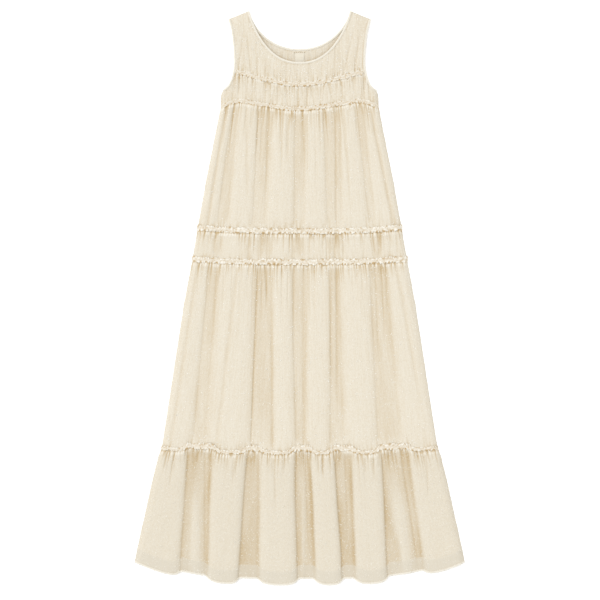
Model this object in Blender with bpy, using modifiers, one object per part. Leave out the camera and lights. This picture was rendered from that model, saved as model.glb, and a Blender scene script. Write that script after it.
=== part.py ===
"""A sleeveless maxi dress in gathered tiers, laid flat on its back.

Metres. +Y runs from the hem to the neck, +X to the right as seen from above, and +Z up from the surface.
The back panels lie on the surface, and the front panels lie over them and meet them at the side seams.
"""

import math
from collections import namedtuple

import bmesh
import bpy
from mathutils import Vector

# Thickness of each cloth wall
CLOTH = 0.0012
FRILL = 0.0010
BINDING = 0.0018
LABEL = 0.0010

# Gaps that keep neighbouring pieces apart
SEAM_GAP = 0.0004
LAYER_GAP = 0.0003
BINDING_GAP = 0.0005
FRILL_CLEARANCE = 0.0005

# Heights above the surface
BACK_MIDDLE = CLOTH / 2
BACK_PLEAT_RISE = 0.0022
FRONT_MIDDLE = 0.0099
SIDE_ROLL = 0.014
SHOULDER_ROLL = 0.034
BINDING_RISE_LENGTH = 0.05

# Widths of the narrow pieces
NECK_BINDING_WIDTH = 0.0056
ARMHOLE_BINDING_WIDTH = 0.0050
WIDE_FRILL = 0.0150
NARROW_FRILL = 0.0100
FRILL_WAVE = 0.0012
LABEL_WIDTH = 0.022
LABEL_LENGTH = 0.034
LABEL_TOP = 0.5985

# The hem's arc, and how far a sunk fold draws it up
HEM_CENTRE = -0.7000
HEM_ARC_POWER = 3.4
HEM_DRAW_UP = 0.014
BACK_HEM_INSIDE = 0.002
HEM_SIDE_LENGTH = 0.050

# Neck
NECK_HALF = 0.1220
NECK_TOP = 0.7000
FRONT_NECK_DEPTH = 0.1250
FRONT_NECK_POWER = 2.3
FRONT_NECK_ROUNDNESS = 0.78
BACK_NECK_DEPTH = 0.0920
BACK_NECK_POWER = 2.15
BACK_NECK_ROUNDNESS = 0.68
NECK_STEPS = 8

# Columns and rows of a panel
FOLD_EDGE = 0.0050
ROLL_STEPS = (0.0, 0.0040, SIDE_ROLL)
RAMP_LENGTH = 0.028
FLAT_MARGIN = 0.0025
YOKE_HOLD = 0.016
FLOUNCE_MIDDLE_ROW = 0.6
BACK_COLUMNS = 12
BACK_PLEAT_EVERY = 3
CHEST_PLEATS = 12
CHEST_PLEAT_RISE = 0.0016
CHEST_PLEAT_HALF = 0.146
FRONT_FRILL_COLUMNS = 28
BACK_FRILL_COLUMNS = 14
CLOSEST_COLUMNS = 0.0045

Point = namedtuple("Point", "x y")
Fold = namedtuple("Fold", "left_top right_top left_bottom right_bottom rise")
Column = namedtuple("Column", "top bottom rise")
Row = namedtuple("Row", "down share")
Frill = namedtuple("Frill", "name seam width")
Tier = namedtuple("Tier", "name folds top_seam bottom_seam frill_above frill_below")
Neckline = namedtuple("Neckline", "depth power roundness")

# Corners of the right half, where seams meet the outline
SHOULDER_END = Point(0.1737, 0.6800)
YOKE_END = Point(0.1625, 0.5480)
UNDERARM = Point(0.1880, 0.5063)
CHEST_END = Point(0.1918, 0.4665)
WAIST_TOP_END = Point(0.2478, 0.1718)
WAIST_BOTTOM_END = Point(0.2612, 0.0952)
FLOUNCE_END = Point(0.3355, -0.3645)
HEM_CORNER = Point(0.4026, -0.6435)

# The right side seam, from the hem up to the underarm
SIDE_SEAM = (
    HEM_CORNER,
    Point(0.3890, -0.5800),
    Point(0.3587, -0.4440),
    Point(0.3440, -0.3850),
    FLOUNCE_END,
    Point(0.2818, -0.0142),
    WAIST_BOTTOM_END,
    WAIST_TOP_END,
    Point(0.2294, 0.2787),
    CHEST_END,
    UNDERARM,
)

# The right armhole's edge, down from the shoulder
YOKE_ARMHOLE = (
    SHOULDER_END,
    Point(0.1667, 0.6544),
    Point(0.1620, 0.6200),
    Point(0.1598, 0.5900),
    Point(0.1598, 0.5660),
    YOKE_END,
)
CHEST_ARMHOLE = (
    YOKE_END,
    Point(0.1675, 0.5310),
    Point(0.1755, 0.5160),
    UNDERARM,
)

# Right halves of the cross seams, from the centre outwards
YOKE_SEAM = (
    Point(0.0, 0.5200),
    Point(0.044, 0.5235),
    Point(0.075, 0.5305),
    Point(0.112, 0.5390),
    Point(0.140, 0.5475),
    YOKE_END,
)
CHEST_SEAM = (
    Point(0.0, 0.4610),
    Point(0.044, 0.4640),
    Point(0.075, 0.4695),
    Point(0.112, 0.4750),
    Point(0.146, 0.4805),
    Point(0.170, 0.4750),
    CHEST_END,
)
WAIST_TOP_SEAM = (
    Point(0.0, 0.1630),
    Point(0.125, 0.1642),
    Point(0.205, 0.1682),
    WAIST_TOP_END,
)
WAIST_BOTTOM_SEAM = (
    Point(0.0, 0.0880),
    Point(0.125, 0.0892),
    Point(0.205, 0.0922),
    WAIST_BOTTOM_END,
)
FLOUNCE_SEAM = (
    Point(0.0, -0.3755),
    Point(0.150, -0.3745),
    Point(0.250, -0.3705),
    FLOUNCE_END,
)

# Raised folds of the front tiers. None as an edge means that the fold runs out to the side seam.
UPPER_FOLDS = (
    Fold(None, -0.1612, None, -0.2017, 0.006),
    Fold(-0.1500, -0.1016, -0.1748, -0.1138, 0.008),
    Fold(-0.0626, -0.0077, -0.0845, -0.0113, 0.009),
    Fold(0.0160, 0.0560, 0.0110, 0.0720, 0.008),
    Fold(0.0985, 0.1330, 0.1033, 0.1692, 0.008),
    Fold(0.1570, None, 0.1863, None, 0.006),
)
WAIST_FOLDS = (
    Fold(None, -0.2090, None, -0.2139, 0.0045),
    Fold(-0.1895, -0.1041, -0.1919, -0.1016, 0.0055),
    Fold(-0.0601, -0.0284, -0.0626, -0.0248, 0.0055),
    Fold(0.0057, 0.0741, 0.0082, 0.0741, 0.0055),
    Fold(0.1058, 0.1619, 0.1058, 0.1643, 0.0050),
    Fold(0.1960, None, 0.1985, None, 0.0045),
)
MIDDLE_FOLDS = (
    Fold(None, -0.2170, None, -0.2605, 0.008),
    Fold(-0.1870, -0.1040, -0.2017, -0.1273, 0.011),
    Fold(-0.0638, -0.0187, -0.0772, -0.0101, 0.011),
    Fold(0.0326, 0.0789, 0.0204, 0.0887, 0.010),
    Fold(0.1097, 0.1741, 0.1229, 0.1936, 0.010),
    Fold(0.2080, None, 0.2449, None, 0.008),
)
FLOUNCE_FOLDS = (
    Fold(None, -0.2700, None, -0.2920, 0.011),
    Fold(-0.2114, -0.1309, -0.2310, -0.1565, 0.015),
    Fold(-0.0894, -0.0113, -0.1016, -0.0065, 0.016),
    Fold(0.0253, 0.0863, 0.0375, 0.0985, 0.015),
    Fold(0.1229, 0.2009, 0.1351, 0.2131, 0.015),
    Fold(0.2693, None, 0.3034, None, 0.011),
)

TIERS = (
    Tier("upper_tier", UPPER_FOLDS, CHEST_SEAM, WAIST_TOP_SEAM, NARROW_FRILL, WIDE_FRILL),
    Tier("waist_band", WAIST_FOLDS, WAIST_TOP_SEAM, WAIST_BOTTOM_SEAM, WIDE_FRILL, WIDE_FRILL),
    Tier("middle_tier", MIDDLE_FOLDS, WAIST_BOTTOM_SEAM, FLOUNCE_SEAM, WIDE_FRILL, WIDE_FRILL),
    Tier("flounce", FLOUNCE_FOLDS, FLOUNCE_SEAM, None, WIDE_FRILL, None),
)
FRILLS = (
    Frill("yoke_frill", YOKE_SEAM, NARROW_FRILL),
    Frill("chest_frill", CHEST_SEAM, NARROW_FRILL),
    Frill("waist_top_frill", WAIST_TOP_SEAM, WIDE_FRILL),
    Frill("waist_bottom_frill", WAIST_BOTTOM_SEAM, WIDE_FRILL),
    Frill("flounce_frill", FLOUNCE_SEAM, WIDE_FRILL),
)
FRONT_NECK = Neckline(FRONT_NECK_DEPTH, FRONT_NECK_POWER, FRONT_NECK_ROUNDNESS)
BACK_NECK = Neckline(BACK_NECK_DEPTH, BACK_NECK_POWER, BACK_NECK_ROUNDNESS)

CREAM_COTTON = (0.82, 0.74, 0.60, 1.0)
PALE_BINDING = (0.86, 0.79, 0.66, 1.0)
BLANK_LABEL = (0.88, 0.83, 0.72, 1.0)


def mix(start, end, share):
    """The value at a share of the way from start to end."""
    return start + (end - start) * share


def read_off(pairs, key):
    """The second number at a key among the first numbers, which rise, by straight lines."""
    if key <= pairs[0][0]:
        return pairs[0][1]
    for near, far in zip(pairs, pairs[1:]):
        if key <= far[0]:
            return mix(near[1], far[1], (key - near[0]) / (far[0] - near[0]))
    return pairs[-1][1]


def seam_y(seam, x):
    """Height of a mirrored cross seam at x."""
    return read_off(seam, abs(x))


def half_width(y):
    """Half width between the side seams at y."""
    return read_off([(point.y, point.x) for point in SIDE_SEAM], y)


def mirrored(points):
    """The left-hand copy of a path on the right."""
    return [Vector((-point.x, point.y)) for point in points]


def both_halves(places):
    """Places on the right half with their mirror images, from left to right."""
    return sorted({signed for place in places for signed in (place, -place)})


def side_distance(x, y):
    """Distance from the side seam, which ends at the underarm."""
    if y <= UNDERARM.y:
        return half_width(y) - abs(x)
    return math.hypot(UNDERARM.x - abs(x), y - UNDERARM.y)


def shoulder_distance(x, y):
    """Distance from the shoulder seam, square to it."""
    run = SHOULDER_END.x - NECK_HALF
    drop = NECK_TOP - SHOULDER_END.y
    below = (NECK_HALF - abs(x)) * drop + (NECK_TOP - y) * run
    return max(0.0, below / math.hypot(run, drop))


def rounded(distance, reach):
    """0 at an edge, rising to 1 at reach as a quarter circle."""
    if distance >= reach:
        return 1.0
    return math.sqrt(max(0.0, 1.0 - (1.0 - max(distance, 0.0) / reach) ** 2))


def frill_lift(x, y):
    """How far the frills under the back panels hold them off the surface, the chest band all over."""
    full = FRILL + LAYER_GAP
    if seam_y(CHEST_SEAM, x) < y < seam_y(YOKE_SEAM, x):
        return full
    lift = 0.0
    for frill in FRILLS:
        hold = YOKE_HOLD if frill.seam is YOKE_SEAM else frill.width / 2 + FLAT_MARGIN
        beyond = max(0.0, abs(y - seam_y(frill.seam, x)) - hold - SEAM_GAP)
        lift = max(lift, 1.0 - beyond / (RAMP_LENGTH - hold))
    return full * lift


def back_height(x, y):
    """Middle of the back panels' wall."""
    return BACK_MIDDLE + frill_lift(x, y)


def front_height(x, y):
    """Middle of the front panels' wall without its folds, low at the side and shoulder seams."""
    bound = min(1.0, max(0.0, (y - CHEST_SEAM[0].y) / BINDING_RISE_LENGTH))
    low = back_height(x, y) + CLOTH + LAYER_GAP + (BINDING - CLOTH) * bound
    share = rounded(side_distance(x, y), SIDE_ROLL) * rounded(shoulder_distance(x, y), SHOULDER_ROLL)
    return mix(low, FRONT_MIDDLE, share)


def back_binding_height(_x, _y):
    """Middle of a binding on the back's edges, which lies on the surface."""
    return BINDING / 2


def front_binding_height(x, y):
    """Middle of a binding on the front's edges."""
    return front_height(x, y) + (BINDING - CLOTH) / 2


def over_front(x, y, distance):
    """A point of the front panels, moved out square to them."""
    step = 0.0005
    slope_x = (front_height(x + step, y) - front_height(x - step, y)) / (2 * step)
    slope_y = (front_height(x, y + step) - front_height(x, y - step)) / (2 * step)
    outwards = Vector((-slope_x, -slope_y, 1.0)).normalized()
    return Vector((x, y, front_height(x, y))) + outwards * distance


def make_material(name, colour, roughness):
    """A plain cloth finish."""
    material = bpy.data.materials.new(name)
    material.use_nodes = True
    shader = material.node_tree.nodes["Principled BSDF"]
    shader.inputs["Base Color"].default_value = colour
    shader.inputs["Roughness"].default_value = roughness
    shader.inputs["Metallic"].default_value = 0.0
    return material


for leftover in list(bpy.data.objects):
    bpy.data.objects.remove(leftover, do_unlink=True)
DRESS = bpy.data.collections.new("maxi_dress")
bpy.context.scene.collection.children.link(DRESS)
COTTON = make_material("cream_cotton", CREAM_COTTON, 0.85)
EDGE_TAPE = make_material("pale_binding", PALE_BINDING, 0.75)
LABEL_TAPE = make_material("blank_label", BLANK_LABEL, 0.6)


def add_cloth(name, columns, rows, place, thickness, material):
    """A wall on a grid of columns by rows faces, whose points a function puts in place by their numbers."""
    mesh = bpy.data.meshes.new(name)
    work = bmesh.new()
    bmesh.ops.create_grid(work, x_segments=columns, y_segments=rows, size=0.5)
    for vertex in work.verts:
        column = round((vertex.co.x + 0.5) * columns)
        row = round((vertex.co.y + 0.5) * rows)
        vertex.co = place(column, row)
    bmesh.ops.recalc_face_normals(work, faces=work.faces)
    if sum(face.normal.z for face in work.faces) < 0:
        bmesh.ops.reverse_faces(work, faces=work.faces)
    work.to_mesh(mesh)
    work.free()
    mesh.materials.append(material)
    piece = bpy.data.objects.new(name, mesh)
    DRESS.objects.link(piece)
    wall = piece.modifiers.new("Wall", "SOLIDIFY")
    wall.thickness = thickness
    wall.offset = 0.0


def tier_rows(tier, length):
    """Rows down a tier, each with the folds' share of their rise, which is none at a gathered edge."""
    above = tier.frill_above / 2 + FLAT_MARGIN
    rows = [Row(0.0, 0.0), Row(above, 0.0), Row(RAMP_LENGTH, 1.0)]
    if tier.bottom_seam is None:
        rows += [Row(length * FLOUNCE_MIDDLE_ROW, 1.0), Row(length, 1.0)]
    else:
        below = tier.frill_below / 2 + FLAT_MARGIN
        rows += [Row(length - RAMP_LENGTH, 1.0), Row(length - below, 0.0), Row(length, 0.0)]
    return [Row(row.down / length, row.share) for row in rows]


def roll_columns(top_half, bottom_half, rise):
    """Columns over the rounded right-hand edge, ending at the side seam."""
    return [
        Column(top_half - step, bottom_half - step, rise if step == SIDE_ROLL else 0.0)
        for step in reversed(ROLL_STEPS)
    ]


def left_roll_columns(top_half, bottom_half, rise):
    """Columns over the rounded left-hand edge, starting at the side seam."""
    right = roll_columns(top_half, bottom_half, rise)
    return [Column(-column.top, -column.bottom, column.rise) for column in reversed(right)]


def fold_columns(folds, top_half, bottom_half):
    """Columns across a folded tier, a pair at each edge of each fold."""
    columns = left_roll_columns(top_half, bottom_half, folds[0].rise)
    for fold in folds:
        if fold.left_top is not None:
            columns.append(Column(fold.left_top - FOLD_EDGE, fold.left_bottom - FOLD_EDGE, 0.0))
            columns.append(Column(fold.left_top + FOLD_EDGE, fold.left_bottom + FOLD_EDGE, fold.rise))
        if fold.right_top is not None:
            columns.append(Column(fold.right_top - FOLD_EDGE, fold.right_bottom - FOLD_EDGE, fold.rise))
            columns.append(Column(fold.right_top + FOLD_EDGE, fold.right_bottom + FOLD_EDGE, 0.0))
    return columns + roll_columns(top_half, bottom_half, folds[-1].rise)


def pleat_columns(top_half, bottom_half):
    """Evenly spaced columns of a back tier, some of them raised a little."""
    columns = []
    for number in range(BACK_COLUMNS + 1):
        across = mix(-1.0, 1.0, number / BACK_COLUMNS)
        raised = number % BACK_PLEAT_EVERY == BACK_PLEAT_EVERY - 1
        columns.append(Column(across * top_half, across * bottom_half, BACK_PLEAT_RISE if raised else 0.0))
    return columns


def with_corners(columns, top_seam, bottom_seam):
    """The columns with one more at each corner of the seams above and below."""
    for end, seam in enumerate((top_seam, bottom_seam)):
        if seam is None:
            continue
        for x in both_halves([point.x for point in seam[:-1]]):
            columns = with_corner(columns, end, x)
    return columns


def with_corner(columns, end, x):
    """The columns with one that has its top (end 0) or bottom (end 1) at x."""
    for number, (near, far) in enumerate(zip(columns, columns[1:])):
        if near[end] < x < far[end]:
            share = (x - near[end]) / (far[end] - near[end])
            added = Column(*(mix(one, other, share) for one, other in zip(near, far)))
            return columns[: number + 1] + [added] + columns[number + 1 :]
    return columns


def hem_y(x, raised):
    """The front hem's arc at x, drawn up where no fold raises the cloth, but not at the corners."""
    arc = HEM_CENTRE + (HEM_CORNER.y - HEM_CENTRE) * (abs(x) / HEM_CORNER.x) ** HEM_ARC_POWER
    inside = min(1.0, (HEM_CORNER.x - abs(x)) / HEM_SIDE_LENGTH)
    return arc + HEM_DRAW_UP * (1.0 - raised) * max(0.0, inside)


def back_hem_y(x):
    """The back hem, just inside the front's sunk folds."""
    return hem_y(x, 0.0) + BACK_HEM_INSIDE


def tier_ends(tier, columns, hem):
    """The top and bottom point of each column, half a seam gap inside the seams."""
    ends = []
    for column in columns:
        top = Point(column.top, seam_y(tier.top_seam, column.top) - SEAM_GAP / 2)
        if tier.bottom_seam is None:
            bottom = Point(column.bottom, hem(column))
        else:
            bottom = Point(column.bottom, seam_y(tier.bottom_seam, column.bottom) + SEAM_GAP / 2)
        ends.append((top, bottom))
    return ends


def add_tier(name, tier, columns, hem, height):
    """A tier between two cross seams, or from one to the hem, on a height function and its columns' rises."""
    ends = tier_ends(tier, columns, hem)
    lowest = HEM_CENTRE if tier.bottom_seam is None else tier.bottom_seam[0].y
    rows = tier_rows(tier, tier.top_seam[0].y - lowest)
    top_half = tier.top_seam[-1].x

    def place(number, row_number):
        column, row = columns[number], rows[row_number]
        top, bottom = ends[number]
        x = mix(top.x, bottom.x, row.down)
        y = mix(top.y, bottom.y, row.down)
        from_side = top_half - abs(column.top)
        if from_side < SIDE_ROLL + CLOTH:
            x = math.copysign(half_width(y) - from_side, x)
        return Vector((x, y, height(x, y) + column.rise * row.share))

    add_cloth(name, len(columns) - 1, len(rows) - 1, place, CLOTH, COTTON)


def add_tiers(tier):
    """The front and back panels of one tier."""
    top_half = tier.top_seam[-1].x
    bottom_half = HEM_CORNER.x if tier.bottom_seam is None else tier.bottom_seam[-1].x
    full = max(fold.rise for fold in tier.folds)
    folded = with_corners(fold_columns(tier.folds, top_half, bottom_half), tier.top_seam, tier.bottom_seam)
    pleated = with_corners(pleat_columns(top_half, bottom_half), tier.top_seam, tier.bottom_seam)
    add_tier(f"front_{tier.name}", tier, folded, lambda c: hem_y(c.bottom, c.rise / full), front_height)
    add_tier(f"back_{tier.name}", tier, pleated, lambda c: back_hem_y(c.bottom), back_height)


def neck_points(neckline):
    """The neck's edge from the left neck point round to the right one."""
    points = []
    for step in range(-NECK_STEPS, NECK_STEPS + 1):
        across = math.sin(step / NECK_STEPS * math.pi / 2)
        fall = (1.0 - abs(across) ** neckline.power) ** neckline.roundness
        points.append(Vector((NECK_HALF * across, NECK_TOP - neckline.depth * fall)))
    return points


def shifted(points, distance):
    """A path moved to its right-hand side."""
    moved = []
    for number, point in enumerate(points):
        before = points[max(number - 1, 0)]
        after = points[min(number + 1, len(points) - 1)]
        run = (after - before).normalized()
        moved.append(point + Vector((run.y, -run.x)) * distance)
    return moved


def armhole_inside(distance):
    """The right armhole's whole edge, moved into the cloth."""
    edge = [Vector(point) for point in YOKE_ARMHOLE + CHEST_ARMHOLE[1:]]
    return shifted(edge, distance)


def add_patch(name, bottom, top, left, right, height):
    """A panel that fills four edges smoothly, each given from left to right or from the bottom up."""
    last_column, last_row = len(bottom) - 1, len(left) - 1

    def place(column, row):
        u, v = column / last_column, row / last_row
        across = bottom[column] * (1 - v) + top[column] * v
        upwards = left[row] * (1 - u) + right[row] * u
        low = bottom[0] * (1 - u) + bottom[-1] * u
        high = top[0] * (1 - u) + top[-1] * u
        x, y = across + upwards - low * (1 - v) - high * v
        return Vector((x, y, height(x, y, column, row)))

    add_cloth(name, last_column, last_row, place, CLOTH, COTTON)


def add_yoke(name, neckline, height):
    """A yoke from the shoulder seams to the yoke seam, cut away for the neck and the armholes."""
    neck = shifted(neck_points(neckline), NECK_BINDING_WIDTH + BINDING_GAP)
    armhole = armhole_inside(ARMHOLE_BINDING_WIDTH + BINDING_GAP)[: len(YOKE_ARMHOLE)]
    corners = [point.x for point in YOKE_SEAM[:-1]]
    between = [mix(near, far, 0.5) for near, far in zip(corners, corners[1:])]
    places = both_halves([*corners, *between, armhole[-1].x])
    bottom = [Vector((x, seam_y(YOKE_SEAM, x) + SEAM_GAP / 2)) for x in places]
    strap_columns = (len(places) - len(neck)) // 2
    shares = [number / strap_columns for number in range(1, strap_columns + 1)]
    right_strap = [neck[-1].lerp(armhole[0], share) for share in shares]
    top = [*reversed(mirrored(right_strap)), *neck, *right_strap]
    right = [bottom[-1], *reversed(armhole[:-1])]
    add_patch(name, bottom, top, mirrored(right), right, lambda x, y, column, row: height(x, y))


def chest_columns(pleats, top_half):
    """Columns of a chest band: its rolled edges, its seams' corners and the pleats between them."""
    narrowing = top_half / CHEST_END.x
    edges = both_halves([CHEST_END.x - step for step in ROLL_STEPS])
    columns = with_corners([Column(x * narrowing, x, 0.0) for x in edges], YOKE_SEAM, CHEST_SEAM)
    for number in range(1 - pleats, pleats):
        x = CHEST_PLEAT_HALF * number / pleats
        if min(abs(x - column.bottom) for column in columns) > CLOSEST_COLUMNS:
            columns = with_corner(columns, 1, x)
    return columns


def add_chest_band(name, pleats, pleat_rise, height):
    """The gathered band from the yoke seam to the chest seam, with the armholes' lower corners."""
    armhole = armhole_inside(ARMHOLE_BINDING_WIDTH + BINDING_GAP)[len(YOKE_ARMHOLE) - 1 : -1]
    columns = chest_columns(pleats, armhole[0].x)
    bottom = [Vector((c.bottom, seam_y(CHEST_SEAM, c.bottom) + SEAM_GAP / 2)) for c in columns]
    top = [Vector((c.top, seam_y(YOKE_SEAM, c.top) - SEAM_GAP / 2)) for c in columns]
    side = Vector((UNDERARM.x, UNDERARM.y - ARMHOLE_BINDING_WIDTH - BINDING_GAP))
    right = [bottom[-1], side, *reversed(armhole[1:]), top[-1]]
    edge = len(ROLL_STEPS)

    def pleated(x, y, column, row):
        inside = 0 < row < len(right) - 1 and edge <= column < len(columns) - edge
        return height(x, y) + (pleat_rise if inside and column % 2 else 0.0)

    add_patch(name, bottom, top, mirrored(right), right, pleated)


def add_binding(name, inner, outer, height):
    """A flat bias strip between its two edges."""
    paths = (inner, outer)

    def place(column, row):
        x, y = paths[row][column]
        return Vector((x, y, height(x, y)))

    add_cloth(name, len(outer) - 1, 1, place, BINDING, EDGE_TAPE)


def add_bindings(side, neckline, height):
    """The neck binding and both armhole bindings of the front or the back."""
    neck = neck_points(neckline)
    add_binding(f"{side}_neck_binding", shifted(neck, NECK_BINDING_WIDTH), neck, height)
    inner = armhole_inside(ARMHOLE_BINDING_WIDTH)[:-1]
    outer = armhole_inside(0.0)[:-1]
    add_binding(f"{side}_right_armhole_binding", inner, outer, height)
    add_binding(f"{side}_left_armhole_binding", mirrored(inner), mirrored(outer), height)


def frill_half(frill):
    """Half length of a frill: the yoke's ends short of the armhole bindings."""
    if frill.seam is YOKE_SEAM:
        return YOKE_ARMHOLE[-2].x - ARMHOLE_BINDING_WIDTH - BINDING_GAP
    return frill.seam[-1].x


def add_front_frill(frill):
    """A gathered strip over a front seam, waved up and down."""
    half = frill_half(frill)
    flat_ends = both_halves([half - step for step in ROLL_STEPS[:-1]])
    shares = [number / FRONT_FRILL_COLUMNS for number in range(FRONT_FRILL_COLUMNS + 1)]
    places = sorted([*flat_ends, *(mix(SIDE_ROLL - half, half - SIDE_ROLL, share) for share in shares)])
    clear = CLOTH / 2 + LAYER_GAP + FRILL / 2 + FRILL_CLEARANCE

    def place(column, row):
        x = places[column]
        y = seam_y(frill.seam, x) + (row - 0.5) * frill.width
        wave = FRILL_WAVE if column % 2 and 1 < column < len(places) - 2 else 0.0
        return over_front(x, y, clear + wave)

    add_cloth(f"front_{frill.name}", len(places) - 1, 1, place, FRILL, COTTON)


def add_back_frill(frill):
    """A gathered strip under a back seam, flat on the surface."""
    half = frill_half(frill)

    def place(column, row):
        x = mix(-half, half, column / BACK_FRILL_COLUMNS)
        return Vector((x, seam_y(frill.seam, x) + (row - 0.5) * frill.width, FRILL / 2))

    add_cloth(f"back_{frill.name}", BACK_FRILL_COLUMNS, 1, place, FRILL, COTTON)


def add_label():
    """A small blank label on the inside of the back yoke, under its neck binding."""
    middle = CLOTH + LAYER_GAP + LABEL / 2

    def place(column, row):
        return Vector(((column - 0.5) * LABEL_WIDTH, LABEL_TOP + (row - 1) * LABEL_LENGTH, middle))

    add_cloth("neck_label", 1, 1, place, LABEL, LABEL_TAPE)


def main():
    """Builds every cut piece of the dress."""
    for tier in TIERS:
        add_tiers(tier)
    add_yoke("front_yoke", FRONT_NECK, front_height)
    add_yoke("back_yoke", BACK_NECK, back_height)
    add_chest_band("front_chest_band", CHEST_PLEATS, CHEST_PLEAT_RISE, front_height)
    add_chest_band("back_chest_band", 1, 0.0, back_height)
    for frill in FRILLS:
        add_front_frill(frill)
        add_back_frill(frill)
    add_bindings("front", FRONT_NECK, front_binding_height)
    add_bindings("back", BACK_NECK, back_binding_height)
    add_label()


main()
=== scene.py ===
"""Looks of a cream cotton maxi dress in gathered tiers, laid flat on its back.

Metres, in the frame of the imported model. +Y runs from the hem to the neck, +X to the right as seen from
above, and +Z up from the surface. The back panels lie on the surface, and the front panels lie over them.
"""

import logging
import math
from collections.abc import Sequence
from dataclasses import dataclass, replace
from enum import Enum

import bmesh
import bpy
import numpy as np
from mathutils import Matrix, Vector


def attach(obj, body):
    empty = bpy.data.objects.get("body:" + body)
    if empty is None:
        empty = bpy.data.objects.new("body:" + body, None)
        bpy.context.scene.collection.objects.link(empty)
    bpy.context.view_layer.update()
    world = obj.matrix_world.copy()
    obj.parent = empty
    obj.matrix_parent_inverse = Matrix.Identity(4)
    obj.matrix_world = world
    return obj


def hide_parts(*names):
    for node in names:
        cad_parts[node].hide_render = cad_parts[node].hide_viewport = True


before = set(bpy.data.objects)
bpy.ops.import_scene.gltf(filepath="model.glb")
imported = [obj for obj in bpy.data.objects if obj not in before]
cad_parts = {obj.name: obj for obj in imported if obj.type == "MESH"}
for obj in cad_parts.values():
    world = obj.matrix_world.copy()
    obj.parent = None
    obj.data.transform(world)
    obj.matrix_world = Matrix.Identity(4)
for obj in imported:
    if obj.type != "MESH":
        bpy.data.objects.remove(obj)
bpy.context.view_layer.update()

log = logging.getLogger("maxi_dress")

Array = np.ndarray
MM = 0.001

# Cloth walls and how they lie on each other
WALL = 0.0009
FRILL_WALL = 0.0008
BACK_MIDDLE = 0.0005
FRILL_ROOM = 0.0021
FRONT_MIDDLE = 0.0088
SIDE_ROLL = 0.016
SHOULDER_ROLL = 0.034
RAMP_LENGTH = 0.030
SEAM_KEEPS = 0.40

# How fast gathers open away from a seam, how far in from the side seams the relief fades, and how far loose
# pieces are kept clear of what they lie on
GATHER_OPENS = 0.004
SIDE_FADE = 0.010
CLEAR = 0.0002

# The random patterns' cells, and the step that their slopes are read over
NOISE_CELLS = 256
SLOPE_STEP = 0.0004


class Side(Enum):
    """Which half of the dress a panel belongs to."""

    FRONT = "front"
    BACK = "back"


def mix(start: Array, end: Array, share: Array) -> Array:
    """The value at a share of the way from start to end."""
    return start + (end - start) * share


def smooth_step(share: Array) -> Array:
    """0 below 0 and 1 above 1, with a soft rise between."""
    share = np.clip(share, 0.0, 1.0)
    return share * share * (3.0 - 2.0 * share)


def rounded(distance: Array, reach: float) -> Array:
    """0 at an edge, rising to 1 at reach as a quarter circle."""
    inside = 1.0 - np.clip(distance / reach, 0.0, 1.0)
    return np.sqrt(1.0 - inside * inside)


def bell(distance: Array, width: float) -> Array:
    """1 at no distance, fading smoothly to 0 over about twice the width."""
    return np.exp(-((distance / width) ** 2))


def soft_noise(u: Array, v: Array, seed: int) -> Array:
    """Smooth random values on cells one unit wide.

    Args:
        u, v: Places in cells.
        seed: Which random pattern.

    Returns:
        Values from -1 to 1.
    """
    table = np.random.default_rng(seed).uniform(-1.0, 1.0, (NOISE_CELLS, NOISE_CELLS))
    u, v = np.broadcast_arrays(u, v)
    low_u, low_v = np.floor(u).astype(int), np.floor(v).astype(int)
    part_u, part_v = smooth_step(u - low_u), smooth_step(v - low_v)

    def corner(step_v: int, step_u: int) -> Array:
        """The table's value at a corner of each cell."""
        return table[(low_v + step_v) % NOISE_CELLS, (low_u + step_u) % NOISE_CELLS]

    return mix(mix(corner(0, 0), corner(0, 1), part_u), mix(corner(1, 0), corner(1, 1), part_u), part_v)


def read_smoothly(places: Array, values: Array, at: Array) -> Array:
    """Values between given places, which rise, on one smooth curve.

    Args:
        places, values: The given points.
        at: Where the curve is read.

    Returns:
        The curve's values there.
    """
    slopes = np.gradient(values, places)
    number = np.clip(np.searchsorted(places, at) - 1, 0, len(places) - 2)
    span = places[number + 1] - places[number]
    share = np.clip((at - places[number]) / span, 0.0, 1.0)
    square, cube = share**2, share**3
    return (
        (2 * cube - 3 * square + 1) * values[number]
        + (cube - 2 * square + share) * span * slopes[number]
        + (3 * square - 2 * cube) * values[number + 1]
        + (cube - square) * span * slopes[number + 1]
    )


def path_lengths(path: Array) -> Array:
    """Length along a path of points, up to each of them."""
    steps = np.linalg.norm(np.diff(path, axis=0), axis=1)
    return np.concatenate(([0.0], np.cumsum(steps)))


def even_path(points: Sequence, count: int) -> Array:
    """A smooth path through some points, in evenly spaced points.

    Args:
        points: Pairs of x and y.
        count: How many points the path has.

    Returns:
        An array of count rows of x and y.
    """
    given = np.array(points, float)
    along = path_lengths(given)
    at = np.linspace(0.0, along[-1], count)
    return np.stack([read_smoothly(along, given[:, axis], at) for axis in (0, 1)], axis=1)


def moved_right(path: Array, distance: float) -> Array:
    """A path moved to its right-hand side."""
    run = np.gradient(path, axis=0)
    run /= np.linalg.norm(run, axis=1, keepdims=True)
    return path + np.stack([run[:, 1], -run[:, 0]], axis=1) * distance


def mirrored(path: Array) -> Array:
    """The left-hand copy of a path on the right."""
    return path * np.array((-1.0, 1.0))


def away_from(edge: Array, x: Array, y: Array) -> Array:
    """Distance of each place from the nearest point of an edge."""
    return np.sqrt(np.min([(x - edge_x) ** 2 + (y - edge_y) ** 2 for edge_x, edge_y in edge], axis=0))


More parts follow.
